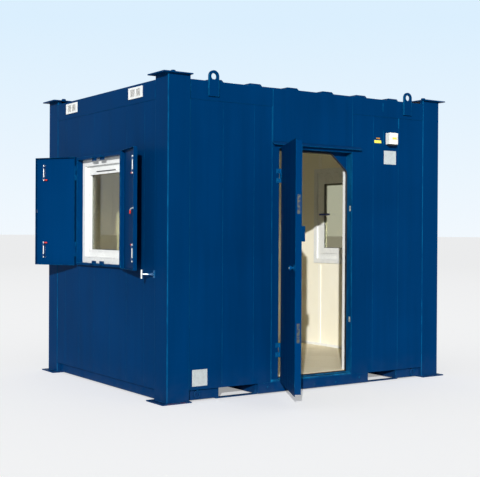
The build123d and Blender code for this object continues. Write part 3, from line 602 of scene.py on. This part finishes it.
wall_t = 0.092
room_low = Vector((wall_t, wall_t, 0.130))
room_high = Vector((cabin_w - wall_t, cabin_d - wall_t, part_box("ceiling_panel")[0].z))
window_y, far_shift = 1.176, 0.139
trim_half, trim_z0, trim_z1 = 0.52, 1.020, 2.088
strip_w, strip_t, strip_soft = 0.045, 0.005, 0.0015
boxes = []
for y in (0.49, 1.09, 1.69, 2.10):
    for x0, x1, middle in ((room_low.x, room_low.x + strip_t, window_y),
                           (room_high.x - strip_t, room_high.x, window_y + far_shift)):
        spans = ((room_low.z, room_high.z),)
        if abs(y - middle) < trim_half:
            spans = ((room_low.z, trim_z0), (trim_z1, room_high.z))
        for z0, z1 in spans:
            boxes.append(((x0, y - strip_w / 2, z0), (x1, y + strip_w / 2, z1), strip_soft))
for x in (0.69, 1.29, 1.89, 2.49):
    for y0, z0 in ((room_high.y - strip_t, room_low.z), (room_low.y + 0.02, room_high.z - strip_t)):
        boxes.append(((x - strip_w / 2, y0, z0), (x + strip_w / 2, room_high.y, room_high.z), strip_soft))
bars("cover_strips", boxes, cream_strip)

skirt_h, skirt_t, skirt_soft = 0.028, 0.008, 0.002
skirt_top = room_low.z + skirt_h
bars("skirting", [
    (room_low, (room_low.x + skirt_t, room_high.y, skirt_top), skirt_soft),
    ((room_high.x - skirt_t, room_low.y, room_low.z), (room_high.x, room_high.y, skirt_top), skirt_soft),
    ((room_low.x, room_high.y - skirt_t, room_low.z), (room_high.x, room_high.y, skirt_top), skirt_soft)],
    white_plastic)


# Doorway: frame, rubber seal, white liner, drip hood, hinge pins and strike plates
# A folded steel frame with a stop plate behind the leaf. The rubber bulb seal runs up both
# jambs and over the head, and bright strike plates stand in the lock jamb.
def sill_wear_and_jamb_highlight(tree, part):
    # Rubbed wear on the sill where feet cross it, and a painted highlight on the lock jamb's outer fold
    return larger(tree, times(tree, line_mask(tree, part["Z"], 0.109, 0.012), 1.8),
                  times(tree, line_mask(tree, part["X"], 1.913, 0.010), 0.7))


door_look = {"tone": 0.08, "wave": 0.35, "rub_and_highlight": 1.0, "radius": 0.005}
door_paint = navy_paint("navy_door_paint", **door_look)
# The hinge paint is a lighter blue, brightened on every edge: painted highlights on the knuckles and bolts, with some
# rubbed wear
hinge_paint = navy_paint("highlit_and_rubbed_hinge_paint", color=srgb(6, 74, 122), rub_and_highlight=1.0, radius=0.006)
finish_nodes(door_paint, "drip_rail")
finish_nodes(navy_paint("navy_door_frame_paint", lines=sill_wear_and_jamb_highlight, **door_look), "door_frame")
finish_nodes(hinge_paint, "door_hinge_pins")
finish_nodes(white_plastic, "door_liner")

rubber, tree, shader = new_material("black_seal_rubber")
where = object_coords(tree)
bloom = noise_of(tree, where, 22.0, 5.0, 0.6)
feed(tree, shader, {
    "Base Color": blend_of(tree, range_of(tree, bloom, 0.4, 0.8), srgb(16, 18, 22), srgb(34, 37, 42)),
    "Roughness": range_of(tree, bloom, 0.3, 0.7, 0.5, 0.72),
    "Normal": bump_of(tree, 0.3, 0.0006, noise_of(tree, where, 500.0))})
finish_nodes(rubber, "door_seal")

pass_x0, pass_x1, pass_z0, pass_z1 = 1.105, 1.899, 0.125, 2.076
gusset_w, gusset_h = 0.180, 0.150
bulb_r, bulb_y, bend_r = 0.0075, 0.066, 0.060


def bent(corner, before, after, steps=6):
    # Points of the arc that rounds one corner of the seal's route
    corner, before, after = Vector(corner), Vector(before), Vector(after)
    into, away = (corner - before).normalized(), (after - corner).normalized()
    turn = into.angle(away)
    start = corner - into * bend_r * math.tan(turn / 2)
    side = (away - into * away.dot(into)).normalized()
    return [start + into * bend_r * math.sin(a) + side * bend_r * (1 - math.cos(a))
            for a in (turn * i / steps for i in range(steps + 1))]


jamb_corner, head_corner = (pass_x1, pass_z1 - gusset_h), (pass_x1 - gusset_w, pass_z1)
route = [(pass_x1, pass_z0), *bent(jamb_corner, (pass_x1, pass_z0), head_corner),
         *bent(head_corner, jamb_corner, (pass_x0, pass_z1)), (pass_x0, pass_z1), (pass_x0, pass_z0)]
seal_curve = bpy.data.curves.new("seal_bulb", "CURVE")
seal_curve.dimensions = "3D"
seal_curve.bevel_depth = bulb_r
seal_curve.bevel_resolution = 3
seal_curve.use_fill_caps = True
line = seal_curve.splines.new("POLY")
line.points.add(len(route) - 1)
for point, (x, z) in zip(line.points, route):
    point.co = (x, bulb_y, z, 1.0)
drawn = put_in_scene("seal_bulb_line", seal_curve)
bm = bmesh.new()
bm.from_mesh(bpy.data.meshes.new_from_object(drawn))
bmesh.ops.remove_doubles(bm, verts=bm.verts, dist=0.00001)
bpy.data.objects.remove(drawn)
piece(bm, "seal_bulb", rubber)

reveal_x, strike_y = 1.909, 0.0235
strike_w, strike_h, strike_t = 0.020, 0.048, 0.002
strike_levels, hinge_levels = (0.590, 1.590), (0.367, 1.853)
bars("strike_plates", [((reveal_x - strike_t, strike_y - strike_w / 2, z - strike_h / 2),
                        (reveal_x, strike_y + strike_w / 2, z + strike_h / 2), 0.0007) for z in strike_levels],
     bright_zinc)


def level_spots(x, y, levels, offsets, way):
    # Spots in pairs above and below each level
    return [((x, y, z + d), way) for z in levels for d in (-offsets, offsets)]


fasteners("strike_screws", level_spots(reveal_x - strike_t, strike_y, strike_levels, 0.017, (-1, 0, 0)),
          0.0030, 0.0014, bright_zinc, sides=12, washer=1.0)
fasteners("hinge_post_bolts", level_spots(1.079, -0.005, hinge_levels, 0.040, (0, -1, 0)),
          0.006, 0.004, hinge_paint)
fasteners("sill_bolts", [((x, 0.0, z), (0, -1, 0)) for x, z in ((1.492, 0.036), (1.737, 0.036), (0.988, 0.058),
                                                                (2.012, 0.058))],
          0.008, 0.006, base_paint)


# Door leaf: its locks, knob and the raised line along its foot
# Two steel skins on an insulated core, painted outside and on the edge like the frame.
# Worn steel forends sit in the free edge with a latch and a dead bolt standing out of them.
finish_nodes(door_paint, "door_leaf", "lock_case")
worn_steel, tree, shader = new_material("worn_forend_steel")
splash = range_of(tree, noise_of(tree, object_coords(tree), 55.0, 5.0, 0.6), 0.45, 0.58)
feed(tree, shader, {
    "Base Color": blend_of(tree, splash, srgb(82, 82, 74), srgb(14, 46, 80)), "Specular IOR Level": 0.2,
    "Roughness": range_of(tree, splash, 0.0, 1.0, 0.35, 0.5),
    "Metallic": range_of(tree, splash, 0.0, 1.0, 0.35, 0.0),
    "Normal": bump_of(tree, 0.3, 0.0004, splash)})
finish_nodes(worn_steel, "lock_forends")
# The knob's paint is brightened on all its rounded edges: painted highlights, with some rubbed wear
finish_nodes(navy_paint("highlit_and_rubbed_knob_paint", color=srgb(6, 66, 116), rub_and_highlight=1.0, radius=0.008), "door_knob")


def swung(pin, degrees):
    # A turn about the upright line through pin
    return (Matrix.Translation(pin) @ Matrix.Rotation(math.radians(degrees), 4, "Z")
            @ Matrix.Translation(-pin))


door_place = swung(Vector((1.100, -0.012, 0.0)), -118.5)
leaf_edge_x, leaf_front_y = 1.901, -0.008
bars("leaf_foot_strip", [((1.118, leaf_front_y - 0.0015, 0.176), (leaf_edge_x - 0.004, leaf_front_y, 0.190), 0.0007)],
     door_paint, "door", door_place)
boxes = []
for z in strike_levels:
    boxes.append(((leaf_edge_x, 0.0115, z - 0.045), (leaf_edge_x + 0.004, 0.0255, z - 0.015), 0.001))
    boxes.append(((leaf_edge_x, 0.0095, z + 0.010), (leaf_edge_x + 0.0025, 0.0275, z + 0.030), 0.001))
bars("lock_bolts", boxes, worn_steel, "door", door_place)
fasteners("forend_screws", level_spots(leaf_edge_x, 0.0185, strike_levels, 0.066, (1, 0, 0)),
          0.0032, 0.0012, worn_steel, "door", sides=12, washer=1.0, place=door_place)
fasteners("leaf_hinge_bolts", level_spots(1.128, -0.013, hinge_levels, 0.011, (0, -1, 0)),
          0.005, 0.0035, hinge_paint, "door", place=door_place)
knob_x, knob_z = 1.851, 1.095
bm = bmesh.new()
bmesh.ops.create_cone(bm, cap_ends=True, segments=32, radius1=0.0075, radius2=0.0068, depth=0.0024,
                      matrix=Matrix.Translation((knob_x, -0.0492, knob_z)) @ Matrix.Rotation(math.pi / 2, 4, "X"))
bar(bm, (knob_x - 0.0008, -0.0512, knob_z - 0.0045), (knob_x + 0.0008, -0.0500, knob_z + 0.0045), 0.0002, 1)
piece(bm, "knob_keyway", bright_zinc, "door", door_place)


# Windows: surrounds, white frames, glass, gaskets, trickle vents and handles
# White plastic frames with one inward opening sash each, a black gasket round the sealed
# unit, and a steel surround that stands out of the wall. The left and right are alike.
finish_nodes(door_paint, "window_surrounds")
finish_nodes(white_plastic, "window_frames", "window_trims")
glass_with_painted_shade, tree, shader = new_material("window_glass_with_painted_shade")
smear = noise_of(tree, object_coords(tree), 5.0, 5.0, 0.65)
# The dull olive base colour is painted shade and reflection, which darkens the room seen through the glass
feed(tree, shader, {
    "Base Color": (0.48, 0.45, 0.31, 1.0), "Roughness": range_of(tree, smear, 0.45, 0.75, 0.0, 0.035),
    "Transmission Weight": 1.0, "IOR": 1.45})
path = add_node(tree, "ShaderNodeLightPath").outputs
clear = add_node(tree, "ShaderNodeBsdfTransparent", {0: (0.86, 0.90, 0.88, 1.0)})
blend = add_node(tree, "ShaderNodeMixShader", {0: path["Is Shadow Ray"], 1: shader.outputs[0], 2: clear.outputs[0]})
feed(tree, next(n for n in tree.nodes if n.type == "OUTPUT_MATERIAL"), {"Surface": blend.outputs[0]})
finish_nodes(glass_with_painted_shade, "window_glass")

window_z0, window_z1 = 1.084, 2.026
glass_half, glass_z0, glass_z1 = 0.303, 1.206, 1.904
to_right_end = Matrix.Translation((cabin_w, far_shift, 0.0)) @ Matrix.Diagonal((-1.0, 1.0, 1.0, 1.0))


def at_both_ends(name, boxes, material):
    # Bars of the left window, and the same ones turned over for the right one
    bm = bmesh.new()
    for box in boxes:
        bar(bm, *box)
    right = bm.copy()
    right.transform(to_right_end)
    bmesh.ops.reverse_faces(right, faces=right.faces)
    mesh = bpy.data.meshes.new("right_half")
    right.to_mesh(mesh)
    right.free()
    bm.from_mesh(mesh)
    bpy.data.meshes.remove(mesh)
    piece(bm, name, material)


def ring(x0, x1, half, z0, z1, wide, soften, deeper=0.0):
    # Four bars just inside the given outline, the upper one deeper by so much
    y0, y1 = window_y - half, window_y + half
    return [((x0, y0, z0), (x1, y0 + wide, z1), soften), ((x0, y1 - wide, z0), (x1, y1, z1), soften),
            ((x0, y0 + wide, z0), (x1, y1 - wide, z0 + wide), soften),
            ((x0, y0 + wide, z1 - wide - deeper), (x1, y1 - wide, z1), soften)]


gasket_w, step_w, bead_w = 0.005, 0.012, 0.016
frame_inset = 0.060 - step_w
at_both_ends("window_gaskets", ring(0.058, 0.062, glass_half, glass_z0, glass_z1, gasket_w, 0.001)
             + ring(0.086, 0.090, glass_half, glass_z0, glass_z1, gasket_w, 0.001), rubber)
# A shallow step along the inner edge of the outer frame casts the thin line there
at_both_ends("window_frame_beads", ring(0.0145, 0.0185, 0.365 + step_w, window_z0 + frame_inset,
                                        window_z1 - frame_inset, step_w, 0.0015), white_plastic)
at_both_ends("window_sash_beads", ring(0.0365, 0.0415, glass_half + bead_w, glass_z0 - bead_w, glass_z1 + bead_w,
                                       bead_w, 0.0015, deeper=0.018), white_plastic)
at_both_ends("trickle_hoods", [((0.031, window_y - 0.221, 1.905), (0.0415, window_y + 0.169, 1.930), 0.003)],
             white_plastic)
# Black bars in the slots under the hoods: painted shade of the open slots
at_both_ends("trickle_slots", [((0.0300, window_y - 0.214, 1.907), (0.0330, window_y + 0.162, 1.916), 0.0004, 1)],
             rubber)

# Upturned edge of each keep, which stands up before the white frame
keep_offset, keep_half = 0.078, 0.043
at_both_ends("bolt_keep_lips", [((-0.0365, y - keep_half, z0), (-0.0315, y + keep_half, z1), 0.0012)
                                for y in (window_y - keep_offset, window_y + keep_offset)
                                for z0, z1 in ((window_z0 - 0.002, window_z0 + 0.024),
                                               (window_z1 - 0.024, window_z1 + 0.002))], door_paint)

blue_plastic = plastic("blue_handle_plastic", srgb(62, 84, 176), srgb(44, 62, 140))
handle_z, handle_stile = 1.570, glass_half + 0.030
for end, face, inward, stile_y, reach in (
        ("left", wall_t, 1.0, window_y - handle_stile, 0.130),
        ("right", cabin_w - wall_t, -1.0, window_y + far_shift + handle_stile, -0.165)):
    def handle_box(near, far, y0, y1, half_z, soften):
        x0, x1 = sorted((face + inward * near, face + inward * far))
        return (x0, min(y0, y1), handle_z - half_z), (x1, max(y0, y1), handle_z + half_z), soften

    bars(f"sash_handle_rose_{end}", [
        handle_box(-0.0005, 0.008, stile_y - 0.013, stile_y + 0.013, 0.035, 0.003),
        handle_box(0.007, 0.038, stile_y - 0.007, stile_y + 0.007, 0.007, 0.002)], white_plastic)
    heel = stile_y - math.copysign(0.010, reach)
    bars(f"sash_handle_lever_{end}", [handle_box(0.030, 0.042, heel, stile_y + reach, 0.010, 0.004)],
         blue_plastic)


# Shutters: two steel leaves at each window with tower bolts, a lever and its catch
# Shallow pans of folded steel, hung at the sides of the surround. Zinc bolts with red
# grips shoot up and down, and a lever on one leaf draws the other shut.
shutter_paint = navy_paint("navy_shutter_paint", tone=0.08, wave=0.35, rub_and_highlight=0.9)
red_plastic = plastic("red_grip_plastic", srgb(214, 52, 40), srgb(186, 38, 30))
axis_x, axis_offset, bolt_s = -0.045, 0.454, 0.364
inner_n, bolt_n = -0.028, -0.012
leaf_z0, leaf_z1 = 1.056, 2.059
bolt_gap, bolt_len, latch_z = 0.065, 0.150, 1.563


def capsule(bm, start, end, radius, segments=12):
    # A rod with rounded ends from start to end
    start, end = Vector(start), Vector(end)
    way = (end - start).normalized()
    turn = way.to_track_quat("Z", "Y").to_matrix().to_4x4()
    loops = []
    for at, sign in ((start, -1), (end, 1)):
        for k in range(4):
            angle = (k / 3) * math.pi / 2 if sign > 0 else (1 - k / 3) * math.pi / 2
            centre, r = at + way * sign * radius * math.sin(angle), max(radius * math.cos(angle), 1e-5)
            loops.append([bm.verts.new(centre + turn @ Vector((r * math.cos(a), r * math.sin(a), 0.0)))
                          for a in (2 * math.pi * j / segments for j in range(segments))])
    for one, two in zip(loops, loops[1:]):
        for j in range(segments):
            bm.faces.new((one[j], one[(j + 1) % segments], two[(j + 1) % segments], two[j]))
    bmesh.ops.remove_doubles(bm, verts=[v for loop in (loops[0], loops[-1]) for v in loop], dist=5e-5)


def rods(name, spans, material, body, place):
    # One smooth piece of round ended rods, each given as its two ends and radius
    bm = bmesh.new()
    for span in spans:
        capsule(bm, *span)
    for face in piece(bm, name, material, body, place).data.polygons:
        face.use_smooth = True


def rod_and_plate(name, back, rod_y):
    # Bare zinc rod on a plate and straps that are painted with the leaf. back turns the
    # pattern to where the leaf was shut, so that depth is measured from its skin.
    made, tree, shader = new_material(name)
    where = object_coords(tree)
    offsets = {}
    for row, centre in ((0, axis_x + bolt_n), (1, rod_y)):
        along = add_node(tree, "ShaderNodeVectorMath", {0: where, 1: tuple(back[row][:3])},
                         operation="DOT_PRODUCT").outputs["Value"]
        offsets[row] = number_of(tree, "ADD", along, back[row][3] - centre)
    across = add_node(tree, "ShaderNodeCombineXYZ", offsets).outputs[0]
    radial = add_node(tree, "ShaderNodeVectorMath", {0: across}, operation="LENGTH").outputs["Value"]
    rod = range_of(tree, radial, 0.0056, 0.0066, 1.0, 0.0)
    cloudy = noise_of(tree, where, 45.0, 4.0)
    bare = blend_of(tree, cloudy, srgb(206, 207, 203), srgb(236, 237, 234))
    feed(tree, shader, {
        "Base Color": blend_of(tree, rod, navy, bare), "Metallic": times(tree, rod, 0.6),
        "Roughness": range_of(tree, cloudy, 0.3, 0.7, 0.3, 0.45), "Normal": bump_of(tree, 0.2, 0.0005, cloudy)})
    return made


for end in ("left", "right"):
    for side, where_hung, degrees in ((-1, "front", 166.0), (1, "rear", 149.0)):
        leaf = f"{end}_{where_hung}"
        body = f"shutter_{leaf}"
        axis_y = window_y + side * axis_offset
        hung = swung(Vector((axis_x, axis_y, 0.0)), -side * degrees)
        if end == "right":
            hung = to_right_end @ hung
        finish_nodes(shutter_paint, body)
        finish_nodes(rod_and_plate(f"bolt_finish_{leaf}", hung.inverted(), axis_y - side * bolt_s), f"bolts_{leaf}")

        def spot(s, n, z):
            return Vector((axis_x + n, axis_y - side * s, z))

        rods(f"bolt_grips_{leaf}", [(spot(bolt_s - 0.016, bolt_n, z), spot(bolt_s - 0.034, bolt_n, z), 0.0075)
                                    for z in (leaf_z0 + bolt_gap + bolt_len - 0.008,
                                              leaf_z1 - bolt_gap - bolt_len + 0.008)], red_plastic, body, hung)
        fasteners(f"bolt_screws_{leaf}", [(spot(bolt_s + ds, inner_n + 0.003, z + dz), (1, 0, 0))
                                          for z in (leaf_z0 + bolt_gap, leaf_z1 - bolt_gap - bolt_len)
                                          for dz in (0.006, 0.075, 0.144) for ds in (-0.012, 0.012)],
                  0.0026, 0.0016, bright_zinc, body, sides=10, washer=1.0, crown=0.6, place=hung)
        if where_hung == "front":
            bend = spot(0.360, inner_n + 0.026, 1.559)
            rods(f"latch_lever_{end}", [
                (spot(0.425, inner_n + 0.001, latch_z), spot(0.425, inner_n + 0.018, latch_z), 0.010),
                (spot(0.425, inner_n + 0.020, latch_z), bend, 0.0055),
                (bend, spot(0.335, inner_n + 0.026, 1.545), 0.0055)], bright_zinc, body, hung)
            rods(f"latch_grip_{end}", [(spot(0.337, inner_n + 0.026, 1.547), spot(0.329, inner_n + 0.026, 1.522),
                                        0.0070)], red_plastic, body, hung)
        else:
            bars(f"latch_catch_{end}", [(spot(0.450, -0.022, 1.545) - Vector((0.006, 0.001, 0.0)),
                                         spot(0.450, -0.022, 1.575) + Vector((0.006, 0.003, 0.0)), 0.001)],
                 bright_zinc, body, hung)


# Shutter stays
# A zinc rod with a cross bar that turns over the edge of the open leaf, on a pair of
# ears whose plate is painted with the wall.
stay_finish, tree, shader = new_material("stay_zinc_and_paint")
where = object_coords(tree)
from_middle = apart(tree, axes_of(tree, where)["X"], cabin_w / 2)
out = range_of(tree, from_middle, cabin_w / 2 + 0.044, cabin_w / 2 + 0.050)
cloudy = noise_of(tree, where, 35.0, 4.0)
bare = blend_of(tree, cloudy, srgb(200, 201, 197), srgb(230, 231, 228))
feed(tree, shader, {
    "Base Color": blend_of(tree, out, srgb(8, 84, 132), bare), "Metallic": times(tree, out, 0.75),
    "Roughness": range_of(tree, cloudy, 0.3, 0.7, 0.3, 0.45)})
finish_nodes(stay_finish, "shutter_stays")


# Air vents and their louvres
# White moulded vents near the roof line of each end. Each has two sunk grilles of thin
# slats that slope outward, with a pale grey gauze behind.
finish_nodes(white_plastic, "air_vents")
vent_plastic = plastic("vent_plastic", srgb(238, 238, 235), srgb(226, 226, 222))
gauze = plastic("vent_gauze", srgb(206, 206, 202), srgb(186, 186, 182), rough=(0.6, 0.8))
slats, slat_pitch, slat_w, slat_d, slat_t, slat_slope = 9, 0.0066, 0.080, 0.0052, 0.0011, 0.7
louvre_tree, gin, gout = shape_tree("louvre_stack", [
    ("Slats", WHOLE, slats), ("Pitch", NUMBER, slat_pitch), ("Width", NUMBER, slat_w), ("Depth", NUMBER, slat_d),
    ("Thickness", NUMBER, slat_t), ("Slope", NUMBER, slat_slope), ("Finish", FINISH, None)])
size = add_node(louvre_tree, "ShaderNodeCombineXYZ", {0: gin["Depth"], 1: gin["Width"], 2: gin["Thickness"]})
slat = add_node(louvre_tree, "GeometryNodeMeshCube", {"Size": size.outputs[0]})
offset = add_node(louvre_tree, "ShaderNodeCombineXYZ", {2: gin["Pitch"]})
stack = add_node(louvre_tree, "GeometryNodeMeshLine", {"Count": gin["Slats"], "Offset": offset.outputs[0]})
tilt = add_node(louvre_tree, "FunctionNodeAxisAngleToRotation", {"Axis": (0.0, 1.0, 0.0), "Angle": gin["Slope"]})
rack = add_node(louvre_tree, "GeometryNodeInstanceOnPoints", {
    "Points": stack.outputs[0], "Instance": slat.outputs[0], "Rotation": tilt.outputs[0]})
facing = add_node(louvre_tree, "GeometryNodeInputNamedAttribute", {"Name": "facing"}, data_type="FLOAT_VECTOR")
outward = add_node(louvre_tree, "FunctionNodeAlignRotationToVector", {"Vector": facing.outputs[0]}, axis="X",
                   pivot_axis="Z")
placed = add_node(louvre_tree, "GeometryNodeInstanceOnPoints", {
    "Points": gin["Geometry"], "Instance": rack.outputs[0], "Rotation": outward.outputs[0]})
end_tree(louvre_tree, gout, placed.outputs[0], gin["Finish"])

vent_low, vent_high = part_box("air_vents")
vent_z = (vent_low.z + vent_high.z) / 2
vent_ys, grille_offset = (0.541, 1.806), 0.048
grille_ys = [y + dy for y in vent_ys for dy in (-grille_offset, grille_offset)]
lowest_slat = vent_z - slat_pitch * (slats - 1) / 2
spots = [((x, y, lowest_slat), (way, 0.0, 0.0)) for x, way in ((-slat_d, -1.0), (cabin_w + slat_d, 1.0))
         for y in grille_ys]
shaped_piece("vent_louvres", facing_points("vent_louvres", spots), louvre_tree, {
    "Slats": slats, "Pitch": slat_pitch, "Width": slat_w, "Depth": slat_d, "Thickness": slat_t, "Slope": slat_slope,
    "Finish": vent_plastic}, "cabin")
gauze_half_y, gauze_half_z = 0.040, 0.030
bars("vent_gauze", [((x0, y - gauze_half_y, vent_z - gauze_half_z), (x1, y + gauze_half_y, vent_z + gauze_half_z), 0)
                    for x0, x1 in ((-0.0034, -0.0030), (cabin_w + 0.0030, cabin_w + 0.0034)) for y in grille_ys],
     gauze)
fasteners("vent_screws", [((x, y + dy, vent_z + dz), (way, 0, 0)) for x, way in ((-0.008, -1), (cabin_w + 0.008, 1))
                          for y in vent_ys for dy in (-0.110, 0.110) for dz in (-0.038, 0.038)],
          0.003, 0.0015, white_plastic, sides=12, washer=1.0, crown=0.6)


# Power inlet, plates and tags on the front wall
# A white moulded inlet box with a black flap below, partly painted shadow, two bare aluminium plates and three
# strips of coloured film, all without words.
def film(name, color, shade):
    made, tree, shader = new_material(name)
    faded = noise_of(tree, object_coords(tree), 30.0, 5.0, 0.65)
    feed(tree, shader, {"Base Color": blend_of(tree, range_of(tree, faded, 0.4, 0.75), color, shade),
                        "Roughness": range_of(tree, faded, 0.3, 0.7, 0.35, 0.5)})
    return made


finish_nodes(plastic("inlet_plastic", srgb(240, 240, 233), srgb(226, 225, 214), rough=(0.3, 0.45)), "power_inlet")
# A black flap under the inlet box, which also stands in for the shadow under it: partly a real flap, partly painted
# shadow
bars("inlet_flap_and_painted_shadow", [((2.326, -0.050, 2.178), (2.414, -0.006, 2.190), 0.003)], rubber)
for color, low, high, light, dark in (
        ("yellow", (2.177, 0.0018, 2.196), (2.261, 0.003, 2.222), srgb(240, 234, 96), srgb(226, 218, 78)),
        ("orange", (2.200, 0.0018, 2.233), (2.247, 0.003, 2.246), srgb(184, 124, 34), srgb(160, 104, 30)),
        ("amber", (2.346, -0.0578, 2.234), (2.400, -0.0570, 2.252), srgb(238, 214, 92), srgb(226, 196, 74))):
    bars(f"{color}_strip", [(low, high, 0.0003, 1)], film(f"{color}_film", light, dark))

plate_metal, tree, shader = new_material("brushed_plate")
brush = noise_of(tree, object_coords(tree, (26.0, 1.0, 1.0)), 40.0, 4.0, 0.6)
smudge = noise_of(tree, object_coords(tree), 14.0, 5.0, 0.6)
shine = blend_of(tree, range_of(tree, brush, 0.35, 0.65), srgb(176, 184, 186), srgb(222, 226, 223))
feed(tree, shader, {
    "Base Color": blend_of(tree, range_of(tree, smudge, 0.5, 0.8, 0.0, 0.7), shine, srgb(168, 172, 170)),
    "Roughness": range_of(tree, brush, 0.3, 0.7, 0.35, 0.55), "Metallic": 0.35,
    "Normal": bump_of(tree, 0.25, 0.0003, brush)})
plates = ((0.236, 0.380, 0.124, 0.258), (2.296, 2.446, 2.006, 2.131))
plate_back, plate_front, rivet_in = 0.0030, 0.0012, 0.008
bars("bare_plates", [((x0, plate_front, z0), (x1, plate_back, z1), 0.0006) for x0, x1, z0, z1 in plates],
     plate_metal)
fasteners("plate_rivets", [((x, plate_front, z), (0, -1, 0)) for x0, x1, z0, z1 in plates
                           for x in (x0 + rivet_in, x1 - rivet_in) for z in (z0 + rivet_in, z1 - rivet_in)],
          0.0028, 0.0014, plate_metal, sides=12, washer=1.0, crown=0.5)
